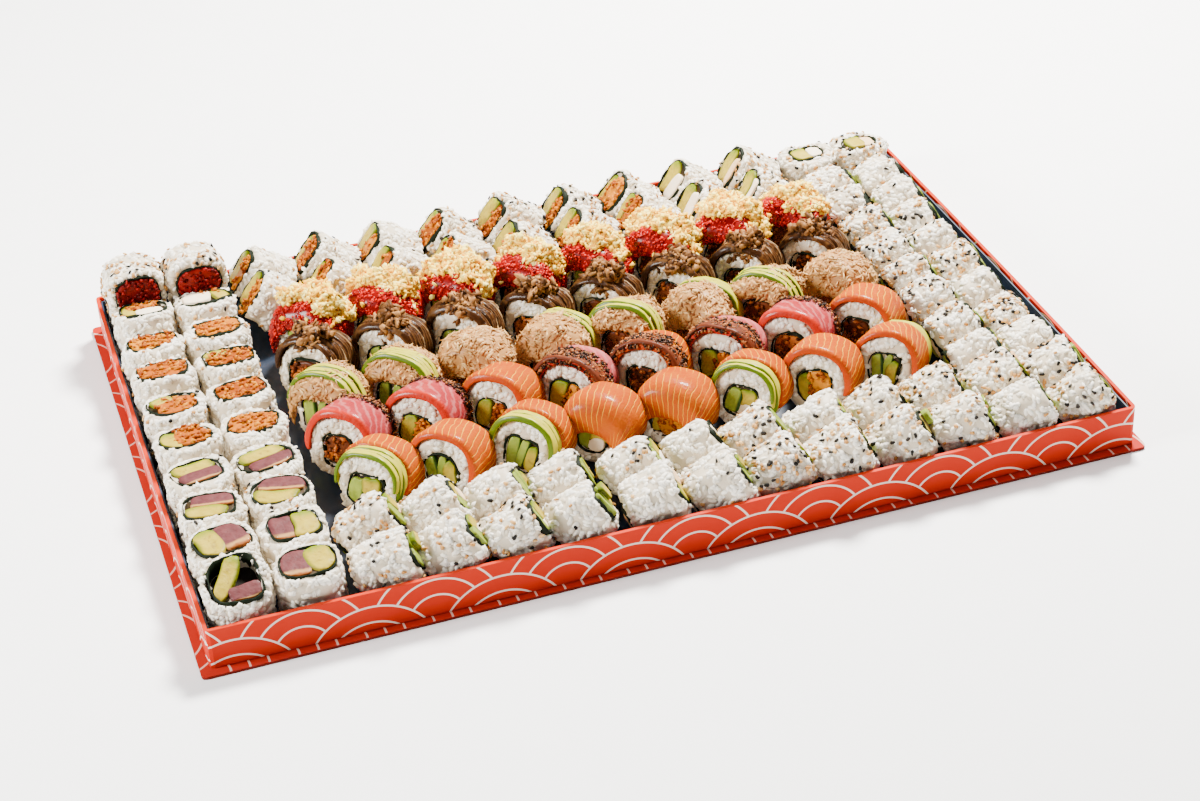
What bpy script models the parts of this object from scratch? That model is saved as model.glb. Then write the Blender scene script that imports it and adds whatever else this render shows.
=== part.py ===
"""Takeaway sushi tray: a printed paperboard tray on its base board, packed with cut rolls.

Metres, +Z up. The origin is the middle of the base board's underside. +X runs along the long
side and +Y goes from the open front to the back. The plain rolls round the edge are fused along
their rows where they press together. Every topped roll in the middle is a piece of its own, and
separate pieces are a hair clear of each other.
"""

import math
import random

import bmesh
import bpy
from mathutils import Matrix, Vector

MM = 0.001
SEED = 11

# Tray and board
TRAY_LENGTH = 500 * MM
TRAY_WIDTH = 333.3 * MM
TRAY_HEIGHT = 24.9 * MM
WALL = 2.0 * MM
WALL_BULGE = 1.2 * MM
CORNER = 2.5 * MM
BOARD_THICK = 1.8 * MM
BOARD_MARGIN = 5.0 * MM
FLOOR_THICK = 1.2 * MM
LINER_THICK = 0.8 * MM
LINER_DROP = 2.0 * MM

# Clearances: between separate pieces, along a row, and the squeeze where two rolls fuse
GAP = 0.35 * MM
ROW_GAP = 0.5 * MM
SQUEEZE = 0.8 * MM

TRAY_BASE = BOARD_THICK + GAP
LINER_BASE = TRAY_BASE + FLOOR_THICK + GAP
FOOD_BASE = LINER_BASE + LINER_THICK + GAP
ROOM_X = TRAY_LENGTH / 2 - WALL - LINER_THICK - 2 * GAP
ROOM_Y = TRAY_WIDTH / 2 - WALL - LINER_THICK - 2 * GAP

# Cut rolls: sides of a section, rounding at a cut rim, spread of sizes within a kind
SIDES = 12
RIM = 1.8 * MM
SPREAD = 0.03

# Left block: two columns of rolls with their cut faces up, leaning back more and more, and a
# lying roll on top of a short one at each back end
LEFT_ACROSS = 35.4 * MM
LEFT_DEEP = 32.3 * MM
LEFT_TALL = 30.5 * MM
LEFT_LEANS = (-4, -4, 0, 0, 4, 4, 9, 9, 12)
LEFT_LAST_TALL = 22.0 * MM
LEFT_TOP_HIGH = 30.0 * MM
LEFT_TOP_LONG = 25.0 * MM
LEFT_GROUPS = (5, 5)

# Front block: two rows tipped up to the right
FRONT_ACROSS = 30.0 * MM
FRONT_HIGH = 31.0 * MM
FRONT_LONG = 30.6 * MM
FRONT_TIP = 29
FRONT_GROUPS = (4, 8)

# Right block: rows of two, tipped up to the right, and two rolls on end in the back corner
RIGHT_ACROSS = 29.0 * MM
RIGHT_HIGH = 31.0 * MM
RIGHT_LONG = 28.3 * MM
RIGHT_TIP = 23
RIGHT_GROUPS = (2, 2, 2, 2)
RIGHT_ROOM = 71.0 * MM
CORNER_TALL = 29.0 * MM

# Back block: two rows tipped up to the left
BACK_ACROSS = 30.0 * MM
BACK_HIGH = 32.0 * MM
BACK_LONG = 30.6 * MM
BACK_TIP = 37
BACK_GROUPS = (5, 4)

# Middle block: five rows of eight lying rolls, each turned, tipped up at its front cut face and
# topped as its row is. A row gives its kind, its first and last roll's place and the next row's step
MIDDLE_COLUMNS = 8
MIDDLE_ROWS = (("salmon", -142 * MM, 151 * MM, 40.0 * MM),
               ("tuna", -146 * MM, 152 * MM, 38.4 * MM),
               ("salad", -148 * MM, 152 * MM, 37.4 * MM),
               ("eel", -145 * MM, 152.5 * MM, 36.4 * MM),
               ("roe", -139 * MM, 154.5 * MM, 0.0))
MIDDLE_WIDE = 38.0 * MM
MIDDLE_HIGH = 35.0 * MM
MIDDLE_LONG = 25.0 * MM
MIDDLE_TURN = 42
MIDDLE_TIP = 16
MIDDLE_TWIST = 1.5
MIDDLE_SLIDE = 1.5 * MM
COVERS = {"salmon": 4.5 * MM, "tuna": 4.5 * MM, "salad": 5.5 * MM, "eel": 3.0 * MM, "roe": 3.0 * MM}
HEAPS = {"eel": (Vector((14.5, 11.5, 11.0)) * MM, 53.0 * MM),
         "roe": (Vector((19.5, 14.5, 18.0)) * MM, 58.5 * MM)}

# Sesame seeds large enough to show, on the plain white rolls
SEED_SIZE = Vector((2.3, 1.5, 1.0)) * MM
SEEDS_PER_ROLL = 1


def clear_scene():
    for obj in list(bpy.data.objects):
        bpy.data.objects.remove(obj, do_unlink=True)


def material(name, colour, roughness, metallic=0.0):
    made = bpy.data.materials.new(name)
    made.use_nodes = True
    shader = made.node_tree.nodes["Principled BSDF"]
    shader.inputs["Base Color"].default_value = (*colour, 1.0)
    shader.inputs["Roughness"].default_value = roughness
    shader.inputs["Metallic"].default_value = metallic
    return made


def new_object(name, bm, finish):
    bmesh.ops.recalc_face_normals(bm, faces=bm.faces)
    mesh = bpy.data.meshes.new(name)
    bm.to_mesh(mesh)
    bm.free()
    mesh.materials.append(finish)
    obj = bpy.data.objects.new(name, mesh)
    bpy.context.scene.collection.objects.link(obj)
    return obj


def loft(rings):
    """A closed body through rings of equally many points, capped at both ends."""
    bm = bmesh.new()
    loops = [[bm.verts.new(point) for point in ring] for ring in rings]
    count = len(loops[0])
    for low, high in zip(loops, loops[1:]):
        for i in range(count):
            j = (i + 1) % count
            bm.faces.new((low[i], low[j], high[j], high[i]))
    bm.faces.new(reversed(loops[0]))
    bm.faces.new(loops[-1])
    return bm


def board_outline(length, width, corner, bulge, level):
    """A rectangle with round corners whose sides bow outward by bulge in the middle."""
    corner_steps = 3
    points = []
    for turn, (sx, sy) in enumerate(((1, 1), (-1, 1), (-1, -1), (1, -1))):
        centre_x = sx * (length / 2 - corner)
        centre_y = sy * (width / 2 - corner)
        for step in range(corner_steps):
            angle = math.radians(90 * turn + 90 * step / (corner_steps - 1))
            points.append(Vector((centre_x + corner * math.cos(angle),
                                  centre_y + corner * math.sin(angle), level)))
        side = length if turn % 2 == 0 else width
        for share in (0.25, 0.5, 0.75):
            bow = bulge * 4 * share * (1 - share)
            along = (0.5 - share) * (side - 2 * corner)
            if turn % 2 == 0:
                points.append(Vector((sx * along, sy * (width / 2 + bow), level)))
            else:
                points.append(Vector((sx * (length / 2 + bow), sy * along, level)))
    return points


def tray_shell(name, length, width, base, top, wall, floor, finish):
    """An open tray: outside up, over the rim, and down inside to the floor."""
    inner_corner = max(CORNER - wall, 0.6 * MM)
    inside = (length - 2 * wall, width - 2 * wall, inner_corner, WALL_BULGE)
    rings = [board_outline(length, width, CORNER, WALL_BULGE, base),
             board_outline(length, width, CORNER, WALL_BULGE, top),
             board_outline(*inside, top),
             board_outline(*inside, base + floor)]
    return new_object(name, loft(rings), finish)


def make_box():
    board = material("board_red", (0.40, 0.035, 0.018), 0.5)
    card = material("printed_card", (0.68, 0.075, 0.03), 0.45)
    liner = material("liner_navy", (0.006, 0.012, 0.028), 0.4)
    outline = [TRAY_LENGTH + 2 * BOARD_MARGIN, TRAY_WIDTH + 2 * BOARD_MARGIN, CORNER, 0.0]
    new_object("base_board", loft([board_outline(*outline, 0.0),
                                   board_outline(*outline, BOARD_THICK)]), board)
    tray_shell("tray", TRAY_LENGTH, TRAY_WIDTH, TRAY_BASE, TRAY_HEIGHT, WALL, FLOOR_THICK, card)
    inset = 2 * (WALL + GAP)
    tray_shell("liner", TRAY_LENGTH - inset, TRAY_WIDTH - inset, LINER_BASE,
               TRAY_HEIGHT - LINER_DROP, LINER_THICK, LINER_THICK, liner)


def plump_section(wide, high, sides=SIDES, squareness=2.6):
    """A roll's outline between round and square, with flats where neighbours press on it."""
    points = []
    for step in range(sides):
        angle = 2 * math.pi * (step + 0.5) / sides
        c, s = math.cos(angle), math.sin(angle)
        reach = (abs(c) ** squareness + abs(s) ** squareness) ** (-1 / squareness)
        points.append(Vector((c * reach, s * reach)))
    widest = max(p.x for p in points)
    highest = max(p.y for p in points)
    return [Vector((p.x / widest * wide / 2, p.y / highest * high / 2)) for p in points]


def topped_section(wide, high, cover):
    """A lying roll's outline with a cover over its upper two thirds, ending in a lip."""
    rice_wide = wide - cover
    lip = 200
    steps = 8
    points = []
    for step in range(steps + 1):
        angle = math.radians(-(lip - 180) / 2 + lip * step / steps)
        points.append(Vector((math.cos(angle) * wide / 2,
                              max(math.sin(angle), -0.25) * (high / 2 + cover))))
    for angle in (204, 232, 270, 308, 336):
        angle = math.radians(angle)
        points.append(Vector((math.cos(angle) * rice_wide / 2 * 1.04,
                              math.sin(angle) * high / 2)))
    return points


def cut_roll(section, long, rim=RIM, foot=True):
    """A roll along local Z, rounded where it was cut, or square at a foot that stands unseen."""
    widest = max(abs(p.x) for p in section)
    inset = 1 - rim / widest
    steps = [(0, inset), (rim, 1)] if foot else [(0, 1)]
    rings = []
    for height, size in (*steps, (long - rim, 1), (long, inset)):
        rings.append([Vector((p.x * size, p.y * size, height - long / 2)) for p in section])
    return loft(rings)


def lumpy_heap(size, draw):
    """A heap of crumbs: a coarse ball whose points are pushed in and out."""
    bm = bmesh.new()
    bmesh.ops.create_icosphere(bm, subdivisions=2, radius=1.0)
    for vert in bm.verts:
        push = draw.uniform(0.84, 1.0)
        vert.co = Vector((vert.co.x * size.x, vert.co.y * size.y, vert.co.z * size.z)) * push
    return bm


def sesame(size):
    """A seed: a flat, pointed body with six corners."""
    bm = bmesh.new()
    corners = [Vector(v) for v in ((1, 0, 0), (0, 1, 0), (-1, 0, 0), (0, -1, 0), (0, 0, 1), (0, 0, -1))]
    verts = [bm.verts.new((c.x * size.x, c.y * size.y, c.z * size.z)) for c in corners]
    for i in range(4):
        j = (i + 1) % 4
        bm.faces.new((verts[i], verts[j], verts[4]))
        bm.faces.new((verts[j], verts[i], verts[5]))
    return bm


def facing(axis, up):
    """The turn that takes local Z to axis and local Y as near to up as it can be."""
    z = axis.normalized()
    x = up.cross(z).normalized()
    y = z.cross(x)
    return Matrix((x, y, z)).transposed().to_4x4()


def lowest(bm):
    return min(v.co.z for v in bm.verts)


def stand(bm, turn, x, y):
    """Turns a piece about its middle, puts it at x, y and sets it on the liner."""
    bmesh.ops.transform(bm, matrix=turn, verts=bm.verts)
    bmesh.ops.translate(bm, vec=(x, y, FOOD_BASE - lowest(bm)), verts=bm.verts)
    return bm


def side_view(bm, along):
    """The convex outline of a piece seen across its row, as pairs of place along it and height."""
    points = sorted({(round(v.co[along], 7), round(v.co.z, 7)) for v in bm.verts})

    def chain(run):
        kept = []
        for p in run:
            while len(kept) > 1 and turn_of(kept[-2], kept[-1], p) <= 0:
                kept.pop()
            kept.append(p)
        return kept[:-1]

    return chain(points) + chain(reversed(points))


def turn_of(a, b, c):
    return (b[0] - a[0]) * (c[1] - a[1]) - (b[1] - a[1]) * (c[0] - a[0])


def reach_at(outline, level, pick):
    """Where an outline's near or far side lies at one height, or None above and below it."""
    found = []
    for a, b in zip(outline, outline[1:] + outline[:1]):
        if min(a[1], b[1]) <= level <= max(a[1], b[1]) and a[1] != b[1]:
            share = (level - a[1]) / (b[1] - a[1])
            found.append(a[0] + share * (b[0] - a[0]))
    return pick(found) if found else None


def push_needed(placed, coming, gap):
    """How far the coming outline has to move along the row to stand gap past the placed one."""
    push = -math.inf
    for _, level in placed + coming:
        far = reach_at(placed, level, max)
        near = reach_at(coming, level, min)
        if far is not None and near is not None:
            push = max(push, far - near)
    return push + gap


def pack_row(pieces, groups, along, start, end):
    """Sets pieces one after the other along a row, squeezed within a group and clear between."""
    starts = {sum(groups[:i]) for i in range(len(groups))}
    axis = Vector((1, 0, 0)) if along == 0 else Vector((0, 1, 0))
    shift = start - min(v.co[along] for v in pieces[0].verts)
    bmesh.ops.translate(pieces[0], vec=axis * shift, verts=pieces[0].verts)
    for index in range(1, len(pieces)):
        placed = side_view(pieces[index - 1], along)
        gap = ROW_GAP if index in starts else -SQUEEZE
        coming = side_view(pieces[index], along)
        bmesh.ops.translate(pieces[index], vec=axis * push_needed(placed, coming, gap),
                            verts=pieces[index].verts)
    spare = end - max(v.co[along] for bm in pieces for v in bm.verts)
    if spare < 0:
        raise ValueError(f"row starting at {start:.4f} is {-spare / MM:.2f} mm too long")
    moved = -1
    for index, bm in enumerate(pieces):
        moved += index in starts
        step = spare * moved / max(len(groups) - 1, 1)
        bmesh.ops.translate(bm, vec=axis * step, verts=bm.verts)


def fuse(name, pieces, finish):
    """One closed body from pieces that press together, by one union on a collection."""
    first = new_object(name, pieces[0], finish)
    if len(pieces) == 1:
        return first
    gathered = bpy.data.collections.new(name + "_joined")
    for index, bm in enumerate(pieces[1:]):
        obj = new_object(f"{name}_{index}", bm, finish)
        bpy.context.scene.collection.objects.unlink(obj)
        gathered.objects.link(obj)
    union = first.modifiers.new("Union", "BOOLEAN")
    union.operation = "UNION"
    union.operand_type = "COLLECTION"
    union.collection = gathered
    union.solver = "MANIFOLD"
    graph = bpy.context.evaluated_depsgraph_get()
    joined = bpy.data.meshes.new_from_object(first.evaluated_get(graph))
    first.modifiers.clear()
    first.data = joined
    for obj in list(gathered.objects):
        bpy.data.objects.remove(obj, do_unlink=True)
    bpy.data.collections.remove(gathered)
    return first


def seeds_on(bm, draw, count):
    """Seeds half sunk in the upper faces of a roll, one to a face, the largest faces first."""
    bm.normal_update()
    upper = [f for f in bm.faces if f.normal.z > 0.45 and len(f.verts) == 4]
    upper.sort(key=lambda f: -f.calc_area())
    found = []
    for face in upper[:count]:
        seed = sesame(SEED_SIZE * draw.uniform(0.9, 1.15))
        heading = Vector((draw.uniform(-1, 1), draw.uniform(-1, 1), 0.2))
        turn = facing(face.normal, heading)
        corner = face.verts[draw.randrange(4)].co
        spot = face.calc_center_median().lerp(corner, draw.uniform(0.0, 0.45))
        bmesh.ops.transform(seed, matrix=Matrix.Translation(spot) @ turn, verts=seed.verts)
        found.append(seed)
    return found


def uneven(value, draw):
    return value * (1 + draw.uniform(-SPREAD, SPREAD))


def make_groups(label, pieces, groups, extras, finish):
    """Names and fuses each group of a row, with the seeds that lie on its rolls."""
    index = 0
    for number, size in enumerate(groups, start=1):
        members = list(range(index, index + size))
        bodies = [pieces[i] for i in members] + [seed for i in members for seed in extras[i]]
        fuse(f"{label}_{number}", bodies, finish)
        index += size


def make_left_block(rice, draw):
    """Rolls on end, leaning back more and more, and a lying roll up on the last one."""
    for column, label in enumerate(("left_outer", "left_inner")):
        x = -ROOM_X + LEFT_ACROSS / 2 + column * (LEFT_ACROSS + GAP)
        section = plump_section(LEFT_ACROSS, LEFT_DEEP)
        pieces = []
        for lean in LEFT_LEANS:
            turn = Matrix.Rotation(math.radians(-lean), 4, "X")
            roll = cut_roll(section, uneven(LEFT_TALL, draw), foot=False)
            pieces.append(stand(roll, turn, x, 0))
        last = cut_roll(section, LEFT_LAST_TALL, foot=False)
        pieces.append(stand(last, Matrix.Identity(4), x, 0))
        pack_row(pieces, LEFT_GROUPS, 1, -ROOM_Y, ROOM_Y)
        front = min(v.co.y for v in last.verts)
        top = cut_roll(plump_section(LEFT_ACROSS - MM, LEFT_TOP_HIGH), LEFT_TOP_LONG)
        stand(top, facing(Vector((0, -1, 0)), Vector((0, 0, 1))), x, front + LEFT_TOP_LONG / 2)
        lift = LEFT_LAST_TALL - SQUEEZE
        bmesh.ops.translate(top, vec=(0, 0, lift), verts=top.verts)
        make_groups(label, pieces, LEFT_GROUPS, [[] for _ in pieces[1:]] + [[top]], rice)


def tipped_row(y, count, across, high, long, tip, sign, draw):
    """A row along X of rolls tipped up to the right, or to the left where sign is -1."""
    pieces = []
    lean = tip
    for index in range(count):
        if index % 2 == 0:
            lean = math.radians(tip + draw.uniform(-3, 3))
        axis = Vector((sign * math.cos(lean), 0, math.sin(lean)))
        section = plump_section(across, uneven(high, draw))
        roll = cut_roll(section, uneven(long, draw), foot=False)
        pieces.append(stand(roll, facing(axis, Vector((0, 0, 1))), 0, y))
    return pieces


def make_front_block(rice, draw):
    left = -ROOM_X + 2 * (LEFT_ACROSS + GAP)
    for row, label in enumerate(("front_near", "front_far")):
        y = -ROOM_Y + FRONT_ACROSS / 2 + row * (FRONT_ACROSS + GAP)
        count = sum(FRONT_GROUPS)
        pieces = tipped_row(y, count, FRONT_ACROSS, FRONT_HIGH, FRONT_LONG, FRONT_TIP, 1, draw)
        pack_row(pieces, FRONT_GROUPS, 0, left, ROOM_X)
        seeds = [seeds_on(bm, draw, SEEDS_PER_ROLL) for bm in pieces]
        make_groups(label, pieces, FRONT_GROUPS, seeds, rice)


def make_right_block(rice, draw):
    """Rows of two, fused four and four, and the pair on end in the back corner."""
    left = ROOM_X - RIGHT_ROOM
    y = -ROOM_Y + 2 * (FRONT_ACROSS + GAP) + RIGHT_ACROSS / 2
    for number, rows in enumerate(RIGHT_GROUPS, start=1):
        members = []
        for _ in range(rows):
            pieces = tipped_row(y, 2, RIGHT_ACROSS, RIGHT_HIGH, RIGHT_LONG, RIGHT_TIP, 1, draw)
            pack_row(pieces, (2,), 0, left, ROOM_X)
            members += pieces + [seed for bm in pieces for seed in seeds_on(bm, draw, SEEDS_PER_ROLL)]
            y += RIGHT_ACROSS - SQUEEZE
        y += SQUEEZE + GAP
        fuse(f"right_{number}", members, rice)
    y = ROOM_Y - RIGHT_ACROSS / 2
    section = plump_section(RIGHT_ROOM / 2 + SQUEEZE / 2, RIGHT_ACROSS - GAP)
    pair = []
    for side in (-1, 1):
        roll = cut_roll(section, uneven(CORNER_TALL, draw), foot=False)
        x = ROOM_X - RIGHT_ROOM / 2 + side * (RIGHT_ROOM - SQUEEZE) / 4
        pair.append(stand(roll, Matrix.Identity(4), x, y))
    fuse("right_corner", pair, rice)


def make_back_block(rice, draw):
    left = -ROOM_X + 2 * (LEFT_ACROSS + GAP)
    right = ROOM_X - RIGHT_ROOM - GAP
    for row, label in enumerate(("back_near", "back_far")):
        y = ROOM_Y - BACK_ACROSS / 2 - (1 - row) * (BACK_ACROSS + GAP)
        count = sum(BACK_GROUPS)
        pieces = tipped_row(y, count, BACK_ACROSS, BACK_HIGH, BACK_LONG, BACK_TIP, -1, draw)
        pack_row(pieces, BACK_GROUPS, 0, left, right)
        make_groups(label, pieces, BACK_GROUPS, [[] for _ in pieces], rice)


def middle_roll(kind, x, y, draw):
    """A lying roll with its topping, and the heap on it where its kind has one."""
    turn = math.radians(MIDDLE_TURN + draw.uniform(-MIDDLE_TWIST, MIDDLE_TWIST))
    tip = math.radians(MIDDLE_TIP)
    axis = Vector((math.sin(turn) * math.cos(tip), math.cos(turn) * math.cos(tip), -math.sin(tip)))
    across = Vector((math.cos(turn), -math.sin(turn), 0))
    section = topped_section(MIDDLE_WIDE, uneven(MIDDLE_HIGH, draw), COVERS[kind])
    place = Vector((x, y, 0)) + across * draw.uniform(-MIDDLE_SLIDE, MIDDLE_SLIDE)
    roll = cut_roll(section, MIDDLE_LONG, rim=1.2 * MM)
    pieces = [stand(roll, facing(axis, Vector((0, 0, 1))), place.x, place.y)]
    if kind in HEAPS:
        size, top = HEAPS[kind]
        heap = lumpy_heap(size, draw)
        turned = Matrix.Rotation(-turn, 4, "Z")
        spot = Matrix.Translation((place.x, place.y, top - size.z))
        bmesh.ops.transform(heap, matrix=spot @ turned, verts=heap.verts)
        pieces.append(heap)
    return pieces


def make_middle_block(finishes, draw):
    y = -sum(row[3] for row in MIDDLE_ROWS) / 2
    for kind, first, last, step in MIDDLE_ROWS:
        for column in range(MIDDLE_COLUMNS):
            x = first + (last - first) * column / (MIDDLE_COLUMNS - 1)
            fuse(f"{kind}_roll_{column + 1}", middle_roll(kind, x, y, draw), finishes[kind])
        y += step


def shade():
    for obj in bpy.data.objects:
        obj.data.shade_smooth()
        obj.data.set_sharp_from_angle(angle=math.radians(35))


clear_scene()
draw = random.Random(SEED)
rice = material("rice_white", (0.80, 0.77, 0.70), 0.6)
finishes = {"salmon": material("salmon", (0.88, 0.22, 0.05), 0.3),
            "tuna": material("tuna", (0.62, 0.13, 0.13), 0.35),
            "salad": material("crab_salad", (0.68, 0.42, 0.27), 0.55),
            "eel": material("glazed_eel", (0.13, 0.06, 0.03), 0.3),
            "roe": material("red_roe", (0.60, 0.04, 0.02), 0.3)}
make_box()
make_left_block(rice, draw)
make_front_block(rice, draw)
make_right_block(rice, draw)
make_back_block(rice, draw)
make_middle_block(finishes, draw)
shade()
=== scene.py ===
"""Looks of the takeaway sushi tray: its board, its rolls of rice, what fills and what tops them."""

import math
import random

import bpy
import numpy as np
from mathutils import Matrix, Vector, noise


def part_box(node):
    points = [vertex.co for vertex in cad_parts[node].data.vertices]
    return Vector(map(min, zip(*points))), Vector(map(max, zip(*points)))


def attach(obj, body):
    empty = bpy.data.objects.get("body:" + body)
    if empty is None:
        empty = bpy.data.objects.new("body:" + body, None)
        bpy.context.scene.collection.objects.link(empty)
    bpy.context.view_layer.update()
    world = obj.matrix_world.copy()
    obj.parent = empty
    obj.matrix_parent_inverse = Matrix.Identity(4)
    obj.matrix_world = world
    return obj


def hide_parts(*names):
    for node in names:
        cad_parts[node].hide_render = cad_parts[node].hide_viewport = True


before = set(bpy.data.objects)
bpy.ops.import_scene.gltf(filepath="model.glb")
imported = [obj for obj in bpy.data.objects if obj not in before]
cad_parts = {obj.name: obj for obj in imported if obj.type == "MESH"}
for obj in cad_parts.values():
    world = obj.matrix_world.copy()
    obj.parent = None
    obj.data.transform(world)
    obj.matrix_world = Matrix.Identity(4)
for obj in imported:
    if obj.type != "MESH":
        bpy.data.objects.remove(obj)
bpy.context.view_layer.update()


# Camera and studio
# A long lens looks down on the tray from the front, a little left of its middle. The table is
# white, and soft lights hang over the back right and the left.
CAMERA_PLACE = (-0.3289, -1.0933, 0.7535)
CAMERA_TURN = (56.195, 2.622, -18.738)
CAMERA_LENS = 72.857
WORLD_LIGHT = 0.24
FLOOR_REACH = 6.0

camera = bpy.data.objects.new("camera", bpy.data.cameras.new("camera"))
bpy.context.scene.collection.objects.link(camera)
camera.location = CAMERA_PLACE
camera.rotation_euler = [math.radians(angle) for angle in CAMERA_TURN]
camera.data.sensor_width = 36
camera.data.lens = CAMERA_LENS
camera.data.clip_start = 0.05
bpy.context.scene.camera = camera

world = bpy.data.worlds.new("studio")
world.use_nodes = True
world.node_tree.nodes["Background"].inputs["Color"].default_value = (1.0, 1.0, 1.0, 1)
world.node_tree.nodes["Background"].inputs["Strength"].default_value = WORLD_LIGHT
bpy.context.scene.world = world


def softbox(name, place, size, watts, colour):
    lamp = bpy.data.lights.new(name, "AREA")
    lamp.shape = "RECTANGLE"
    lamp.size, lamp.size_y = size
    lamp.energy = watts
    lamp.color = colour
    obj = bpy.data.objects.new(name, lamp)
    obj.location = place
    obj.rotation_euler = (-Vector(place)).to_track_quat("-Z", "Y").to_euler()
    bpy.context.scene.collection.objects.link(obj)


softbox("overhead", place=(0.55, 0.60, 1.20), size=(0.34, 0.26), watts=140, colour=(1.0, 0.975, 0.93))
softbox("left_side", place=(-1.3, -0.1, 0.75), size=(0.4, 0.4), watts=50, colour=(1.0, 0.99, 0.97))


class Value:
    """A shader socket that takes part in Python arithmetic by adding Math nodes."""

    def __init__(self, paint, socket):
        self.paint = paint
        self.socket = socket

    def math(self, operation, a, b):
        return self.paint.node("ShaderNodeMath", {"operation": operation}, a, b)

    def __add__(self, other):
        return self.math("ADD", self, other)

    def __radd__(self, other):
        return self.math("ADD", other, self)

    def __sub__(self, other):
        return self.math("SUBTRACT", self, other)

    def __rsub__(self, other):
        return self.math("SUBTRACT", other, self)

    def __mul__(self, other):
        return self.math("MULTIPLY", self, other)

    def __rmul__(self, other):
        return self.math("MULTIPLY", other, self)

    def __truediv__(self, other):
        return self.math("DIVIDE", self, other)

    def __rtruediv__(self, other):
        return self.math("DIVIDE", other, self)

    def __pow__(self, other):
        return self.math("POWER", self, other)

    def __lt__(self, other):
        return self.math("LESS_THAN", self, other)

    def __abs__(self):
        return self.math("ABSOLUTE", self, 0.0)


class Paint:
    """One material: its Principled shader with constant sockets, and nodes for what varies."""

    def __init__(self, name, **constants):
        self.material = bpy.data.materials.new(name)
        self.material.use_nodes = True
        self.tree = self.material.node_tree
        self.shader = self.tree.nodes["Principled BSDF"]
        for socket, value in constants.items():
            self.shader.inputs[socket.replace("_", " ")].default_value = value

    def node(self, kind, settings=None, *values, out=0, **named):
        """Adds a node: its settings first, then its sockets' values or links, in order or by name."""
        made = self.tree.nodes.new(kind)
        for key, value in (settings or {}).items():
            if key == "stops":
                self.set_stops(made.color_ramp, value)
            else:
                setattr(made, key, value)
        for key, value in [*enumerate(values), *named.items()]:
            self.feed(made.inputs[key], value)
        return Value(self, made.outputs[out])

    def set_stops(self, ramp, stops):
        while len(ramp.elements) < len(stops):
            ramp.elements.new(1.0)
        for element, (position, colour) in zip(ramp.elements, stops):
            element.position = position
            element.color = (*colour, 1)

    def feed(self, socket, value):
        if isinstance(value, Value):
            self.tree.links.new(value.socket, socket)
        elif socket.type == "RGBA" and len(value) == 3:
            socket.default_value = (*value, 1)
        else:
            socket.default_value = value

    def axes(self, vector):
        split = self.node("ShaderNodeSeparateXYZ", None, vector).socket.node
        return [Value(self, output) for output in split.outputs]

    def position(self):
        return self.node("ShaderNodeTexCoord", out="Object")

    def place(self):
        return self.node("ShaderNodeAttribute", {"attribute_name": "place"}, out="Vector")

    def noise(self, scale, vector=None, detail=2.0, roughness=0.5):
        vector = vector or self.position()
        return self.node("ShaderNodeTexNoise", None, Vector=vector, Scale=scale, Detail=detail,
                         Roughness=roughness, out="Fac")

    def smooth(self, value, low, high):
        return self.node("ShaderNodeMapRange", {"interpolation_type": "SMOOTHSTEP"},
                         value, low, high, 0.0, 1.0)

    def mix(self, share, a, b):
        made = self.tree.nodes.new("ShaderNodeMix")
        made.data_type = "RGBA"
        self.feed(made.inputs[0], share)
        self.feed(made.inputs[6], a)
        self.feed(made.inputs[7], b)
        return Value(self, made.outputs[2])

    def finish(self, colour=None, roughness=None, height=None, lift=0.0003, strength=1.0):
        if colour is not None:
            self.feed(self.shader.inputs["Base Color"], colour)
        if roughness is not None:
            self.feed(self.shader.inputs["Roughness"], roughness)
        if height is not None:
            bump = self.node("ShaderNodeBump", None, Strength=strength, Distance=lift, Height=height)
            self.feed(self.shader.inputs["Normal"], bump)
        return self.material


def white_floor():
    mesh = bpy.data.meshes.new("floor")
    corners = [(x * FLOOR_REACH, y * FLOOR_REACH, 0) for x, y in ((-1, -1), (1, -1), (1, 1), (-1, 1))]
    mesh.from_pydata(corners, [], [(0, 1, 2, 3)])
    floor = bpy.data.objects.new("floor", mesh)
    bpy.context.scene.collection.objects.link(floor)
    table = Paint("white_table", Roughness=0.9, Specular_IOR_Level=0.2)
    grain = table.noise(40.0)
    mesh.materials.append(table.finish(table.mix(grain, (0.93, 0.93, 0.93), (0.96, 0.96, 0.96))))


white_floor()


# Base board, tray and liner
# The base is a plate of red board, and the tray a folded paperboard wall and floor glued on it.
# The card is printed orange-red with a wave pattern in white, and a dark paper lines the inside.
MM = 0.001
WAVE_RADIUS = 34 * MM
WAVE_LINE = 0.6 * MM
WAVE_RINGS = (1.0, 0.72, 0.44)
WAVE_SHIFT = 40.5
# Painted shade: below the lower height the base board's side is painted dark red for the shade under the
# tray wall, and above the higher one its top keeps its own red.
BOARD_SHADE_HEIGHTS = (1.2 * MM, 1.7 * MM)


def wave_lines(paint, along, up):
    """White arcs of overlapping scales: one where a ring of the frontmost scale passes."""
    drawn = None
    free = None
    for row in (-1, 0, 1):
        level = up.math("FLOOR", up / (WAVE_RADIUS / 2), 0.0) + row
        odd = level.math("PINGPONG", level, 1.0)
        shifted = (along + odd * WAVE_RADIUS) / (2 * WAVE_RADIUS) + WAVE_SHIFT
        aside = (shifted.math("FRACT", shifted, 0.0) - 0.5) * (2 * WAVE_RADIUS)
        above = up - level * (WAVE_RADIUS / 2)
        reach = (aside * aside + above * above) ** 0.5
        ink = None
        for share in WAVE_RINGS:
            near = abs(reach - (share * WAVE_RADIUS - WAVE_LINE))
            line = 1.0 - paint.smooth(near, WAVE_LINE * 0.7, WAVE_LINE * 1.1)
            ink = line if ink is None else ink + line
        inside = reach < WAVE_RADIUS
        if drawn is None:
            drawn = ink * inside
            free = 1.0 - inside
        else:
            drawn = drawn + ink * inside * free
            free = free * (1.0 - inside)
    return drawn


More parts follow.
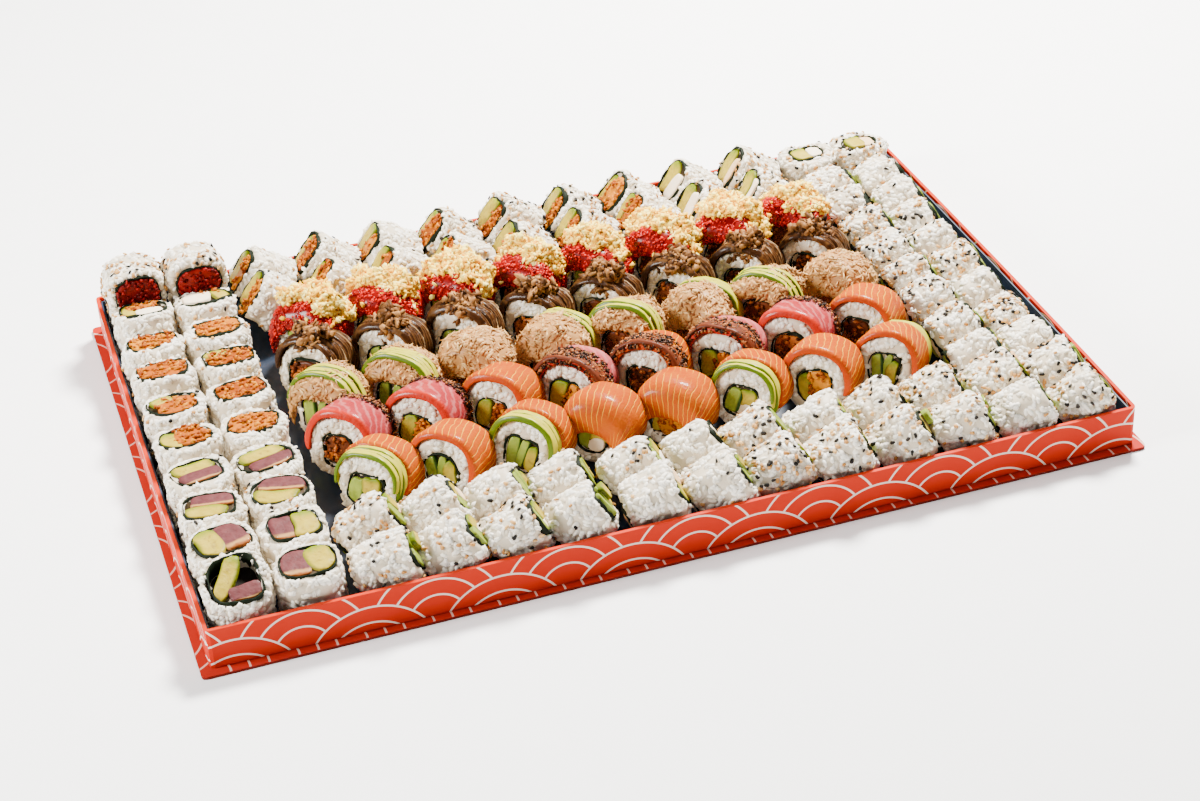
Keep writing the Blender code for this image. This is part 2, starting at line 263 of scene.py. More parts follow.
def printed_card():
    paint = Paint("printed_card", Specular_IOR_Level=0.05)
    x, y, z = paint.axes(paint.position())
    normal = paint.axes(paint.node("ShaderNodeNewGeometry", out="Normal"))
    on_side = paint.smooth(abs(normal[0]), 0.6, 0.8)
    along = x * (1.0 - on_side) + y * on_side
    lines = wave_lines(paint, along, z)
    flat = paint.smooth(abs(normal[2]), 0.5, 0.7)
    wall = 1.0 - flat
    cloud = paint.noise(30.0)
    red = paint.mix(cloud, (0.40, 0.010, 0.0), (0.47, 0.015, 0.001))
    colour = paint.mix(lines * wall, red, (0.72, 0.58, 0.49))
    colour = paint.mix(flat * 0.6, colour, (0.46, 0.03, 0.004))
    fibre = paint.noise(900.0, detail=3.0)
    return paint.finish(colour, 0.42 + cloud * 0.12, fibre, lift=0.00005, strength=0.4)


def base_card():
    paint = Paint("base_board_card", Specular_IOR_Level=0.05)
    cloud = paint.noise(60.0)
    x, y, z = paint.axes(paint.position())
    normal = paint.axes(paint.node("ShaderNodeNewGeometry", out="Normal"))
    # Painted shade: dark red on the board's low side, its own red on its top.
    colour = paint.mix(paint.smooth(z, *BOARD_SHADE_HEIGHTS), (0.10, 0.006, 0.004), (0.34, 0.012, 0.005))
    colour = paint.mix(cloud * 0.3, colour, (0.42, 0.03, 0.012))
    lines = wave_lines(paint, y, x) * paint.smooth(normal[2], 0.5, 0.8)
    colour = paint.mix(lines * 0.75, colour, (0.72, 0.52, 0.42))
    return paint.finish(colour, 0.5 + cloud * 0.1, paint.noise(900.0), lift=0.00005, strength=0.4)


def liner_paper():
    paint = Paint("dark_paper", Coat_Weight=0.2)
    crease = paint.noise(55.0, detail=4.0)
    colour = paint.mix(crease, (0.004, 0.012, 0.032), (0.010, 0.030, 0.070))
    return paint.finish(colour, 0.4 + crease * 0.2, crease, lift=0.0006, strength=0.5)


for name, material in (("tray", printed_card()), ("base_board", base_card()), ("liner", liner_paper())):
    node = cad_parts[name]
    node.data.materials.clear()
    node.data.materials.append(material)


# Rolls of rice
# Each roll is cooked rice spread on a sheet of nori, rolled with the rice outside and cut through.
# The blade leaves two cut faces, and its neighbours press the sides a little flat.
draw = random.Random(5)
dice = np.random.default_rng(5)
noise.seed_set(5)

FOOD_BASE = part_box("left_outer_1")[0].z
RIM, FRONT_RIM, RIGHT_RIM = 3.8 * MM, 4.6 * MM, 7 * MM
AROUND = 34
SQUARENESS = 2.6


class Lot:
    """Closed shapes gathered into one mesh. Every point keeps its place on the food."""

    def __init__(self):
        self.points = []
        self.faces = []
        self.places = []
        self.count = 0

    def add(self, points, faces, place=(0.0, 0.0, 0.0)):
        points = np.asarray(points, float).reshape(-1, 3)
        self.points.append(points)
        self.places.append(np.broadcast_to(np.asarray(place, float), points.shape))
        for group in faces:
            self.faces.append(np.asarray(group, int) + self.count)
        self.count += len(points)

    def piece(self, name, finish, slot, *nodes):
        points = np.concatenate(self.points).astype(np.float32)
        corners = np.concatenate([group.ravel() for group in self.faces])
        sizes = np.concatenate([np.full(len(group), group.shape[1]) for group in self.faces])
        mesh = bpy.data.meshes.new(name)
        mesh.vertices.add(len(points))
        mesh.vertices.foreach_set("co", points.ravel())
        mesh.loops.add(len(corners))
        mesh.loops.foreach_set("vertex_index", corners.astype(np.int32))
        mesh.polygons.add(len(sizes))
        mesh.polygons.foreach_set("loop_start", (np.cumsum(sizes) - sizes).astype(np.int32))
        mesh.polygons.foreach_set("loop_total", sizes.astype(np.int32))
        mesh.update(calc_edges=True)
        mesh.shade_smooth()
        kept = mesh.attributes.new("place", "FLOAT_VECTOR", "POINT")
        kept.data.foreach_set("vector", np.concatenate(self.places).astype(np.float32).ravel())
        mesh.materials.append(finish)
        obj = bpy.data.objects.new(name, mesh)
        bpy.context.scene.collection.objects.link(obj)
        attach(obj, "root")
        if nodes:
            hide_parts(*nodes)
        return obj


class Roll:
    """One cut roll in its own frame: local Z runs through it, X across and Y up."""

    def __init__(self, wide, high, long, axis, middle, up=(0, 0, 1)):
        self.wide = wide
        self.high = high
        self.long = long
        self.axis = Vector(axis).normalized()
        across = Vector(up).cross(self.axis).normalized()
        above = self.axis.cross(across)
        self.turn = np.array([across, above, self.axis]).T
        self.middle = np.array(middle, float)
        self.seed = Vector((draw.uniform(0, 90), draw.uniform(0, 90), draw.uniform(0, 90)))
        self.bends = [(draw.uniform(-0.02, 0.02), draw.uniform(0, 6.28)) for _ in range(3)]
        self.slant = 0.0
        self.swell = 1.0
        self.squareness = SQUARENESS
        self.rim = RIM
        self.holes = {}
        self.covers = []

    def set_down(self):
        """Lowers or lifts the roll until its lowest point is on the liner."""
        corners = self.outline(np.linspace(0, 2 * math.pi, AROUND, endpoint=False))
        low = (corners @ self.turn[:, :2].T)[:, 2].min() - abs(self.axis.z) * self.long / 2
        self.middle[2] = FOOD_BASE - low
        return self

    def outline(self, angle, grow=0.0):
        """The section at an angle, grown outward by a distance."""
        c, s = np.cos(angle), np.sin(angle)
        reach = (np.abs(c) ** self.squareness + np.abs(s) ** self.squareness) ** (-1 / self.squareness)
        for order, (depth, start) in enumerate(self.bends, start=2):
            reach = reach * (1 + depth * np.sin(order * angle + start) - abs(depth))
        return np.stack([c * (reach * self.wide / 2 + grow), s * (reach * self.high / 2 + grow)], -1)

    def world(self, local):
        local = np.array(local, float)
        local[:, 2] += self.slant * local[:, 1] * (local[:, 2] / self.long + 0.5)
        return local @ self.turn.T + self.middle


def grid_faces(rows, columns, closed=True):
    """Quads between rows of points that run round, or side by side where not closed."""
    across = columns if closed else columns - 1
    i, j = np.meshgrid(np.arange(rows - 1), np.arange(across), indexing="ij")
    k = (j + 1) % columns
    return np.stack([i * columns + j, i * columns + k, (i + 1) * columns + k, (i + 1) * columns + j],
                    -1).reshape(-1, 4)


def fan_faces(rim, hub, flip):
    turned = np.roll(rim, -1)
    hubs = np.full(len(rim), hub)
    return np.stack([turned, rim, hubs] if flip else [rim, turned, hubs], -1)


def row_places(low, high, halves):
    """Middles of things side by side from low to high, from their half widths."""
    spread = sum(halves[:-1]) + sum(halves[1:])
    spare = (high - low) - halves[0] - halves[-1]
    places = [low + halves[0]]
    for a, b in zip(halves, halves[1:]):
        places.append(places[-1] + (a + b) * spare / spread)
    return places


# Left block: rolls on end in two columns, and the last of each carries one that lies on it
LEFT_LEANS = {"1": (-4, -4, 0, 0, 4), "2": (4, 9, 9, 12, 0)}
LEFT_WIDE, LEFT_DEEP, LEFT_TALL = 35.4 * MM, 32.3 * MM, 30.5 * MM
LEFT_LAST_TALL, LEFT_TOP_HIGH, LEFT_TOP_LONG = 22 * MM, 30 * MM, 25 * MM
LEFT_TOP_SUNK = 0.8 * MM
FIRST_SLANT = 0.34


def left_rolls(column):
    rolls = []
    for group, leans in LEFT_LEANS.items():
        low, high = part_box(f"left_{column}_{group}")
        x = (low.x + high.x) / 2
        halves = [(LEFT_DEEP * math.cos(math.radians(a)) + LEFT_TALL * abs(math.sin(math.radians(a)))) / 2
                  for a in leans]
        for y, lean in zip(row_places(low.y, high.y, halves), leans):
            axis = (0, math.sin(math.radians(lean)), math.cos(math.radians(lean)))
            tall = LEFT_TALL * draw.uniform(0.97, 1.03)
            rolls.append(Roll(LEFT_WIDE, LEFT_DEEP, tall, axis, (x, y, 0), up=(0, 1, 0)).set_down())
    rolls[0].slant = FIRST_SLANT if column == "outer" else 0.0
    rolls[-1].long = LEFT_LAST_TALL
    rolls[-1].set_down()
    y = rolls[-1].middle[1] - LEFT_DEEP / 2 + LEFT_TOP_LONG / 2
    z = FOOD_BASE + LEFT_LAST_TALL + LEFT_TOP_HIGH / 2 - LEFT_TOP_SUNK
    rolls.append(Roll(LEFT_WIDE - MM, LEFT_TOP_HIGH, LEFT_TOP_LONG, (0, -1, 0), (x, y, z)))
    return rolls


left = {column: left_rolls(column) for column in ("outer", "inner")}

# Front, right and back blocks: tipped rolls side by side
FRONT_SIZE, FRONT_TIP, FRONT_YAW = (30.0 * MM, 31.0 * MM, 30.6 * MM), 30, -5
FRONT_COUNTS = {"front_near_1": 4, "front_near_2": 8, "front_far_1": 4, "front_far_2": 8}
RIGHT_SIZE, RIGHT_TIP = (29.0 * MM, 31.0 * MM, 28.3 * MM), 23
BACK_SIZE, BACK_TIP = (30.0 * MM, 32.0 * MM, 30.6 * MM), 37
TIP_CHANCE = 5


def tipped_rolls(low, high, count, y, size, tip, sign, yaw=0.0, rim=RIM):
    """Rolls side by side along X in a box, tipped up to the right, or left where sign is -1."""
    wide, tall, long = size
    lean = math.radians(tip)
    half = (long * math.cos(lean) + tall * math.sin(lean)) / 2
    rolls = []
    for x in row_places(low.x, high.x, [half] * count):
        lean = math.radians(tip + draw.uniform(-TIP_CHANCE, TIP_CHANCE))
        aside = math.radians(yaw + draw.uniform(-TIP_CHANCE, TIP_CHANCE))
        axis = (sign * math.cos(lean) * math.cos(aside), math.cos(lean) * math.sin(aside), math.sin(lean))
        grow = draw.uniform(0.94, 1.01)
        place = (x + draw.uniform(-1, 1) * MM, y + draw.uniform(-1, 1) * MM, 0)
        roll = Roll(wide * grow, tall * grow, long * draw.uniform(0.94, 1.0), axis, place)
        roll.squareness = draw.uniform(2.2, 3.0) - (rim - RIM) / (8 * MM)
        roll.swell = 1.4
        roll.rim = rim
        rolls.append(roll.set_down())
    return rolls


front = {}
for node, count in FRONT_COUNTS.items():
    low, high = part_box(node)
    front[node] = tipped_rolls(low, high, count, (low.y + high.y) / 2, FRONT_SIZE, FRONT_TIP, 1,
                               yaw=FRONT_YAW, rim=FRONT_RIM)

back = {}
for row in ("near", "far"):
    low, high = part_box(f"back_{row}_1")[0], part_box(f"back_{row}_2")[1]
    back[row] = tipped_rolls(low, high, 9, (low.y + high.y) / 2, BACK_SIZE, BACK_TIP, -1)

right = {}
for node in ("right_1", "right_2", "right_3", "right_4"):
    low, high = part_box(node)
    right[node] = []
    for y in (low.y + RIGHT_SIZE[0] / 2, high.y - RIGHT_SIZE[0] / 2):
        right[node] += tipped_rolls(low, high, 2, y, RIGHT_SIZE, RIGHT_TIP, 1, rim=RIGHT_RIM)

# Corner at the back right: two rolls on end
CORNER_TALL = 29 * MM
low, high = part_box("right_corner")
corner = []
wide = (high.x - low.x) / 2
for x in row_places(low.x, high.x, [wide / 2] * 2):
    roll = Roll(wide, high.y - low.y, CORNER_TALL, (0, 0, 1), (x, (low.y + high.y) / 2, 0), up=(0, 1, 0))
    corner.append(roll.set_down())

# Middle block: rolls that lie turned, with the front cut face tipped up
MIDDLE_KINDS = ("salmon", "tuna", "salad", "eel", "roe")
MIDDLE_COLUMNS = 8
MIDDLE_WIDE, MIDDLE_HIGH, MIDDLE_LONG = 38 * MM, 35.5 * MM, 25 * MM
MIDDLE_TURN, MIDDLE_TIP = 42, 16
COVERS = {"salmon": 3.4 * MM, "tuna": 3.4 * MM, "salad": 5.0 * MM, "eel": 3.0 * MM, "roe": 3.0 * MM}

middle = {}
for kind in MIDDLE_KINDS:
    middle[kind] = []
    for column in range(1, MIDDLE_COLUMNS + 1):
        low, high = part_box(f"{kind}_roll_{column}")
        turn = math.radians(MIDDLE_TURN + draw.uniform(-1.5, 1.5))
        tip = math.radians(MIDDLE_TIP + draw.uniform(-2, 2))
        axis = (math.sin(turn) * math.cos(tip), math.cos(turn) * math.cos(tip), -math.sin(tip))
        centre = ((low.x + high.x) / 2, (low.y + high.y) / 2, 0)
        roll = Roll(MIDDLE_WIDE - COVERS[kind], MIDDLE_HIGH, MIDDLE_LONG + MM, axis, centre)
        middle[kind].append(roll.set_down())


# Nori and fillings
# At each cut face the sheet of nori shows as a thin dark loop inside the rice, and the fillings
# stand in it: sticks of avocado, cucumber and fish cut through, or minced fish.
NORI_THICK = 0.6 * MM
NORI_PROUD = 0.7 * MM
NORI_DEEP = 3 * MM
HOLE_POINTS = 32
HOLE_DEPTH, HOLLOW_DEPTH, MIDDLE_DEPTH = 1.2 * MM, 7 * MM, 2 * MM
STICK_POINTS = 28
MINCE_LUMP = (3.6 * MM, 2.6 * MM, 2.2 * MM)
MINCE_PER_SQUARE_METRE = 0.20e6


class Hole:
    """The loop of nori on one cut face, at end 1 or -1 of a roll, and what is set in it."""

    def __init__(self, roll, end, wide, high, aside=0.0, above=0.0, turn=0.0, depth=HOLE_DEPTH,
                 spill=0.0):
        self.roll = roll
        self.end = end
        self.depth = depth
        self.spill = spill
        self.half = np.array([wide, high]) / 2
        self.centre = np.array([aside, above])
        self.turn = math.radians(turn)
        self.bends = [(draw.uniform(-0.05, 0.05), draw.uniform(0, 6.28)) for _ in range(3)]
        roll.holes[end] = self

    def reach(self, angle):
        c, s = np.cos(angle), np.sin(angle)
        reach = (np.abs(c) ** 3 + np.abs(s) ** 3) ** (-1 / 3)
        for order, (depth, start) in enumerate(self.bends, start=2):
            reach = reach * (1 + depth * np.sin(order * angle + start))
        return reach

    def on_face(self, flat, height):
        """World points from places in the loop, where 1 is its edge, and heights over the face."""
        flat = np.asarray(flat, float) * self.half
        c, s = math.cos(self.turn), math.sin(self.turn)
        aside = flat[:, 0] * c - flat[:, 1] * s + self.centre[0]
        above = flat[:, 0] * s + flat[:, 1] * c + self.centre[1]
        level = self.end * (self.roll.long / 2 + np.broadcast_to(height, aside.shape))
        return self.roll.world(np.column_stack([aside * self.end, above, level]))

    def holds(self, local, margin):
        """Which points in the roll's frame lie inside the loop, on its face."""
        aside = local[:, 0] * self.end - self.centre[0]
        above = local[:, 1] - self.centre[1]
        c, s = math.cos(-self.turn), math.sin(-self.turn)
        u = (aside * c - above * s) / (self.half[0] + margin)
        v = (aside * s + above * c) / (self.half[1] + margin)
        near = local[:, 2] * self.end > self.roll.long / 2 - self.depth - 3 * MM
        return near & (np.hypot(u, v) < self.reach(np.arctan2(v, u)))

    def fit(self, flat, most=0.96):
        """Pulls places that lie past the loop back to its inner side."""
        radius = np.hypot(flat[:, 0], flat[:, 1])
        limit = self.reach(np.arctan2(flat[:, 1], flat[:, 0])) * most
        return flat * np.minimum(1.0, limit / np.maximum(radius, 1e-6))[:, None]


def nori_loop(lot, hole):
    angles = np.linspace(0, 2 * math.pi, HOLE_POINTS, endpoint=False)
    edge = np.stack([np.cos(angles), np.sin(angles)], -1) * hole.reach(angles)[:, None]
    thick = np.array([draw.uniform(0.5, 1.3) for _ in angles])[:, None] * NORI_THICK
    outer = edge * (1 + thick / hole.half.mean())
    proud = NORI_PROUD + np.array([draw.uniform(-0.5, 0.5) for _ in angles]) * MM
    deep = -NORI_DEEP - hole.depth
    rings = [hole.on_face(outer, deep), hole.on_face(outer, proud),
             hole.on_face(edge, proud), hole.on_face(edge, deep)]
    faces = grid_faces(5, HOLE_POINTS) % (4 * HOLE_POINTS)
    lot.add(np.vstack(rings), [faces if hole.end > 0 else faces[:, ::-1]])


def chunk(lot, hole, u, v, wide, high, turn=0.0, proud=0.3, square=4.0, level=False, bow=0.0):
    """A stick of filling cut through with the roll: a rounded prism whose edge is softened."""
    angles = np.linspace(0, 2 * math.pi, STICK_POINTS, endpoint=False)
    c, s = np.cos(angles), np.sin(angles)
    reach = (np.abs(c) ** square + np.abs(s) ** square) ** (-1 / square)
    waves = 0.04 * np.sin(3 * angles + draw.uniform(0, 6)) + 0.025 * np.sin(7 * angles + draw.uniform(0, 6))
    reach = reach * (1 + waves)
    own = np.stack([c * reach, s * reach], -1)
    rings, places = [], []
    seed = draw.uniform(0, 1)
    tilt = 0.0 if level else draw.uniform(-0.5, 0.5)
    proud = (proud if level else proud + draw.uniform(-0.2, 0.7)) * MM
    for share, drop in ((1.0, 3.0), (1.0, 0.5), (0.93, 0.1), (0.78, 0.0), (0.4, 0.0)):
        flat = own * share * np.array([wide, high]) / 2
        longest = 0 if wide > high else 1
        flat[:, 1 - longest] += bow * (own[:, longest] ** 2 - 0.4) * share
        a = math.radians(turn)
        flat = np.stack([flat[:, 0] * math.cos(a) - flat[:, 1] * math.sin(a) + u,
                         flat[:, 0] * math.sin(a) + flat[:, 1] * math.cos(a) + v], -1)
        lift = proud - drop * MM + tilt * MM * own[:, 0] * share
        rings.append(hole.on_face(hole.fit(flat), lift))
        places.append(np.column_stack([own * share, np.full(len(own), seed)]))
    hub = rings[-1].mean(0)
    places.append([[0, 0, seed]])
    faces = grid_faces(5, len(own))
    cap = fan_faces(np.arange(4 * len(own), 5 * len(own)), 5 * len(own), False)
    points = np.vstack([*rings, [hub]])
    if hole.end > 0:
        lot.add(points, [faces, cap], np.vstack(places))
    else:
        lot.add(points, [faces[:, ::-1], cap[:, ::-1]], np.vstack(places))


GOLDEN = (1 + 5 ** 0.5) / 2
BALL = np.array([(-1, GOLDEN, 0), (1, GOLDEN, 0), (-1, -GOLDEN, 0), (1, -GOLDEN, 0),
                 (0, -1, GOLDEN), (0, 1, GOLDEN), (0, -1, -GOLDEN), (0, 1, -GOLDEN),
                 (GOLDEN, 0, -1), (GOLDEN, 0, 1), (-GOLDEN, 0, -1), (-GOLDEN, 0, 1)]) / 1.902
BALL_FACES = np.array([(0, 11, 5), (0, 5, 1), (0, 1, 7), (0, 7, 10), (0, 10, 11), (1, 5, 9),
                       (5, 11, 4), (11, 10, 2), (10, 7, 6), (7, 1, 8), (3, 9, 4), (3, 4, 2),
                       (3, 2, 6), (3, 6, 8), (3, 8, 9), (4, 9, 5), (2, 4, 11), (6, 2, 10),
                       (8, 6, 7), (9, 8, 1)])

CHIP = np.array([(1, 0, 0), (-1, 0, 0), (0, 1, 0), (0, -1, 0), (0, 0, 1), (0, 0, -1)], float)
CHIP_FACES = np.array([(0, 2, 4), (2, 1, 4), (1, 3, 4), (3, 0, 4), (2, 0, 5), (1, 2, 5), (3, 1, 5),
                       (0, 3, 5)])


def strew(lot, spots, normals, size, spread=0.2, sink=0.3, lean=0.25, rough=0.0, taper=0.0,
          chip=False):
    """Lays a small oval body on each spot, turned at random in the surface and partly sunk.

    lean tips it out of the surface, taper narrows one end, and a chip is the plainest body."""
    body, sides = (CHIP, CHIP_FACES) if chip else (BALL, BALL_FACES)
    count = len(spots)
    if count == 0:
        return
    heading = np.cross(normals, dice.normal(size=(count, 3)))
    heading /= np.linalg.norm(heading, axis=1)[:, None]
    heading += normals * dice.uniform(-lean, lean, (count, 1))
    heading /= np.linalg.norm(heading, axis=1)[:, None]
    aside = np.cross(normals, heading)
    aside /= np.linalg.norm(aside, axis=1)[:, None]
    above = np.cross(heading, aside)
    sizes = np.array(size) / 2 * dice.uniform(1 - spread, 1 + spread, (count, 3))
    shape = np.repeat(body[None], count, 0)
    shape = shape * (1 + rough * dice.uniform(-1, 1, (count, len(body), 1)))
    narrow = 1 - taper * shape[:, :, 0:1]
    shape = shape * np.concatenate([np.ones_like(narrow), narrow, narrow], 2)
    points = (spots[:, None] - normals[:, None] * sizes[:, None, 2:] * 2 * sink
              + shape[:, :, 0:1] * sizes[:, None, 0:1] * heading[:, None]
              + shape[:, :, 1:2] * sizes[:, None, 1:2] * aside[:, None]
              + shape[:, :, 2:3] * sizes[:, None, 2:3] * above[:, None])
    faces = sides[None] + np.arange(count)[:, None, None] * len(body)
    tones = np.repeat(dice.uniform(0, 1, (count, 1, 3)), len(body), 1)
    lot.add(points.reshape(-1, 3), [faces.reshape(-1, 3)], tones.reshape(-1, 3))


def triangles(faces):
    split = []
    for group in faces:
        split.append(group[:, :3])
        if group.shape[1] == 4:
            split.append(group[:, [0, 2, 3]])
    return np.vstack(split)


def sample(local, faces, density, keep=None):
    """Random places on a surface, so many to a square metre, with their outward normals."""
    corners = local[triangles(faces)]
    cross = np.cross(corners[:, 1] - corners[:, 0], corners[:, 2] - corners[:, 0])
    size = np.linalg.norm(cross, axis=1)
    count = int(size.sum() / 2 * density)
    pick = dice.choice(len(size), count, p=size / size.sum())
    a, b = dice.uniform(0, 1, (2, count, 1))
    flip = a + b > 1
    a, b = np.where(flip, 1 - a, a), np.where(flip, 1 - b, b)
    base = corners[pick]
    spots = base[:, 0] + a * (base[:, 1] - base[:, 0]) + b * (base[:, 2] - base[:, 0])
    normals = cross[pick] / size[pick][:, None]
    if keep is not None:
        kept = keep(spots, normals)
        spots, normals = spots[kept], normals[kept]
    return spots, normals


def strew_over(lot, roll, surface, density, size, keep=None, **lay):
    """Strews small bodies over a surface given in a roll's own frame."""
    spots, normals = sample(*surface, density, keep)
    strew(lot, roll.world(spots), normals @ roll.turn.T, size, **lay)


def mince(lot, hole, u, v, wide, high):
    """Minced filling: many small lumps heaped in a part of the loop."""
    area = wide * high * hole.half.prod()
    count = int(area * MINCE_PER_SQUARE_METRE)
    flat = dice.uniform(-1, 1, (count, 2))
    flat = flat[np.abs(flat[:, 0]) ** 3 + np.abs(flat[:, 1]) ** 3 < 1]
    flat = hole.fit(flat * np.array([wide, high]) / 2 + np.array([u, v]), 0.9)
    lift = dice.uniform(0.0, 1.5, len(flat)) * MM
    spots = hole.on_face(flat, lift)
    normal = hole.roll.turn[:, 2] * hole.end
    strew(lot, spots, np.repeat(normal[None], len(spots), 0), MINCE_LUMP, spread=0.4, sink=0.0,
          lean=0.9, rough=0.3, chip=True)


nori_sheets = Lot()
sticks = {kind: Lot() for kind in ("avocado", "cucumber", "seared_tuna", "crab_stick")}
minces = {kind: Lot() for kind in ("minced_salmon", "minced_tuna", "minced_dark")}
filling_beds = Lot()

# A recipe lists what stands in the loop: kind, place, size as shares of the loop's half, and turn
RECIPES = {
    "tuna_right": (("avocado", -0.48, 0.0, 1.0, 1.8, 0), ("seared_tuna", 0.46, 0.05, 1.0, 1.75, 4)),
    "tuna_left": (("seared_tuna", -0.46, 0.0, 1.0, 1.75, -3), ("avocado", 0.48, 0.0, 1.0, 1.8, 2)),
    "tuna_low": (("avocado", -0.15, 0.45, 1.7, 0.95, 12), ("seared_tuna", 0.2, -0.45, 1.6, 1.0, 8)),
    "tuna_high": (("seared_tuna", 0.2, 0.45, 1.6, 1.0, -10), ("avocado", -0.25, -0.45, 1.6, 0.95, -8)),
    "half_empty": (("avocado", -0.25, 0.25, 0.62, 2.0, -36), ("seared_tuna", 0.25, -0.65, 1.2, 0.8, 12)),
    "salmon": (("minced_salmon", 0.0, 0.0, 2.0, 2.0, 0),),
    "salmon_green": (("minced_salmon", 0.1, -0.15, 1.8, 1.7, 0), ("avocado", -0.45, 0.55, 0.95, 0.7, 20)),
    "salmon_side": (("minced_salmon", 0.25, 0.0, 1.5, 2.0, 0), ("avocado", -0.62, 0.0, 0.75, 1.6, 0)),
    "half_green": (("minced_salmon", 0.42, -0.1, 1.1, 1.9, 0), ("avocado", -0.45, 0.1, 1.0, 1.8, 0)),
    "crab": (("crab_stick", 0.25, -0.35, 1.1, 1.0, 5), ("minced_salmon", 0.0, 0.45, 1.3, 0.9, 0),
             ("avocado", -0.6, 0.1, 0.7, 1.5, -8)),
    "crab_green": (("crab_stick", -0.3, 0.1, 1.1, 1.6, -5), ("minced_salmon", 0.25, 0.45, 0.9, 0.8, 0),
                   ("avocado", 0.65, -0.1, 0.6, 1.6, 8)),
    "red": (("minced_tuna", 0.0, 0.0, 2.0, 2.0, 0),),
    "california": (("cucumber", -0.45, -0.1, 0.9, 1.5, 0), ("avocado", 0.35, 0.3, 1.1, 1.1, 8),
                   ("crab_stick", 0.3, -0.55, 1.0, 0.8, 0)),
    "green": (("avocado", -0.3, 0.1, 1.1, 1.7, 10), ("crab_stick", 0.55, -0.1, 0.8, 1.4, 0)),
    "slivers": (("cucumber", -0.45, 0.0, 0.7, 1.8, 6), ("cucumber", 0.1, 0.1, 0.5, 1.7, -8),
                ("avocado", 0.6, -0.1, 0.7, 1.5, 4)),
    "dark": (("minced_dark", 0.0, 0.1, 1.7, 1.6, 0), ("minced_salmon", -0.3, -0.3, 0.9, 0.7, 0)),
}


def fill(hole, recipe):
    """Sets the nori, a dark bed behind everything as painted shade between the fillings, and a recipe's
    sticks and mince.
    """
    nori_loop(nori_sheets, hole)
    # Painted shade: a dark plug behind the fillings stands in for the shade in the gaps between them.
    chunk(filling_beds, hole, 0, 0, 2.3, 2.3, proud=0.5 - hole.depth / MM, level=True)
    for kind, u, v, wide, high, turn in RECIPES[recipe]:
        u += draw.uniform(-0.08, 0.08)
        v += draw.uniform(-0.08, 0.08)
        if kind in sticks:
            bow = draw.uniform(-0.28, 0.28) if kind == "avocado" else draw.uniform(-0.06, 0.06)
            chunk(sticks[kind], hole, u, v, wide * 1.06, high * 1.04, turn + draw.uniform(-8, 8),
                  proud=0.5 + hole.spill, square=8.0 if kind == "seared_tuna" else 3.6, bow=bow)
        else:
            chunk(minces[kind], hole, u, v, wide, high, turn, proud=0.3, square=2.5)
            mince(minces[kind], hole, u, v, wide, high)


LEFT_RECIPES = {
    "outer": ("half_empty", "tuna_right", "tuna_high", "tuna_low", "salmon_side", "salmon_green",
              "salmon", "salmon", "crab", None, "red"),
    "inner": ("tuna_left", "tuna_left", "tuna_high", "tuna_low", "salmon", "salmon", "salmon_green",
              "salmon", "crab_green", None, "red"),
}
for column, rolls in left.items():
    for roll, recipe in zip(rolls, LEFT_RECIPES[column]):
        if recipe:
            hollow = recipe == "half_empty"
            wide = (25 if hollow or recipe == "red" else draw.uniform(25, 28)) * MM
            high = (24 if hollow else draw.uniform(19, 22)) * MM
            fill(Hole(roll, 1, wide, high, draw.uniform(-1, 1) * MM, turn=draw.uniform(-7, 7),
                      depth=HOLLOW_DEPTH if hollow else HOLE_DEPTH), recipe)

BACK_RECIPES = ("half_green", "salmon_side", "half_green", "salmon_side", "half_green",
                "half_green", "salmon_side", "green", "green")
for rolls in back.values():
    for roll, recipe in zip(rolls, BACK_RECIPES):
        for end in (1, -1):
            fill(Hole(roll, end, draw.uniform(18, 20.5) * MM, draw.uniform(24, 26) * MM,
                      turn=draw.uniform(-14, 14)), recipe)

for rolls in [*front.values(), *right.values()]:
    for roll in rolls:
        for end in (1, -1):
            hole = Hole(roll, end, draw.uniform(17, 21) * MM, draw.uniform(15, 19) * MM,
                        turn=draw.uniform(-30, 30), spill=draw.uniform(-0.6, 1.3))
            fill(hole, draw.choice(("california", "green", "slivers")))

for roll in corner:
    fill(Hole(roll, 1, 20 * MM, 15 * MM), "green")

# A few sticks of the front row stand well out of their roll
for roll, kind in ((front["front_near_1"][3], "avocado"), (front["front_near_2"][4], "cucumber"),
                   (front["front_near_2"][5], "cucumber"), (front["front_near_1"][0], "avocado")):
    chunk(sticks[kind], roll.holes[1], 0.5, 0.3, 1.0, 1.1, draw.uniform(-20, 20), proud=4.0)

MIDDLE_RECIPES = {"salmon": ("california", "slivers", "salmon_side"),
                  "tuna": ("dark", "half_green", "dark"), "salad": ("dark", "slivers"),
                  "eel": ("dark", "slivers"), "roe": ("dark", "slivers")}
for kind, rolls in middle.items():
    for roll in rolls:
        for end in (1, -1):
            hole = Hole(roll, end, draw.uniform(17, 20) * MM, draw.uniform(16, 19) * MM, above=-1.5 * MM,
                        turn=draw.uniform(-10, 10), depth=MIDDLE_DEPTH)
            fill(hole, draw.choice(MIDDLE_RECIPES[kind]))


def nori_finish():
    paint = Paint("nori", Specular_IOR_Level=0.06)
    fibre = paint.noise(500.0, detail=4.0)
    return paint.finish(paint.mix(fibre, (0.003, 0.005, 0.003), (0.012, 0.018, 0.008)),
                        0.45 + fibre * 0.3, fibre, lift=0.0002)


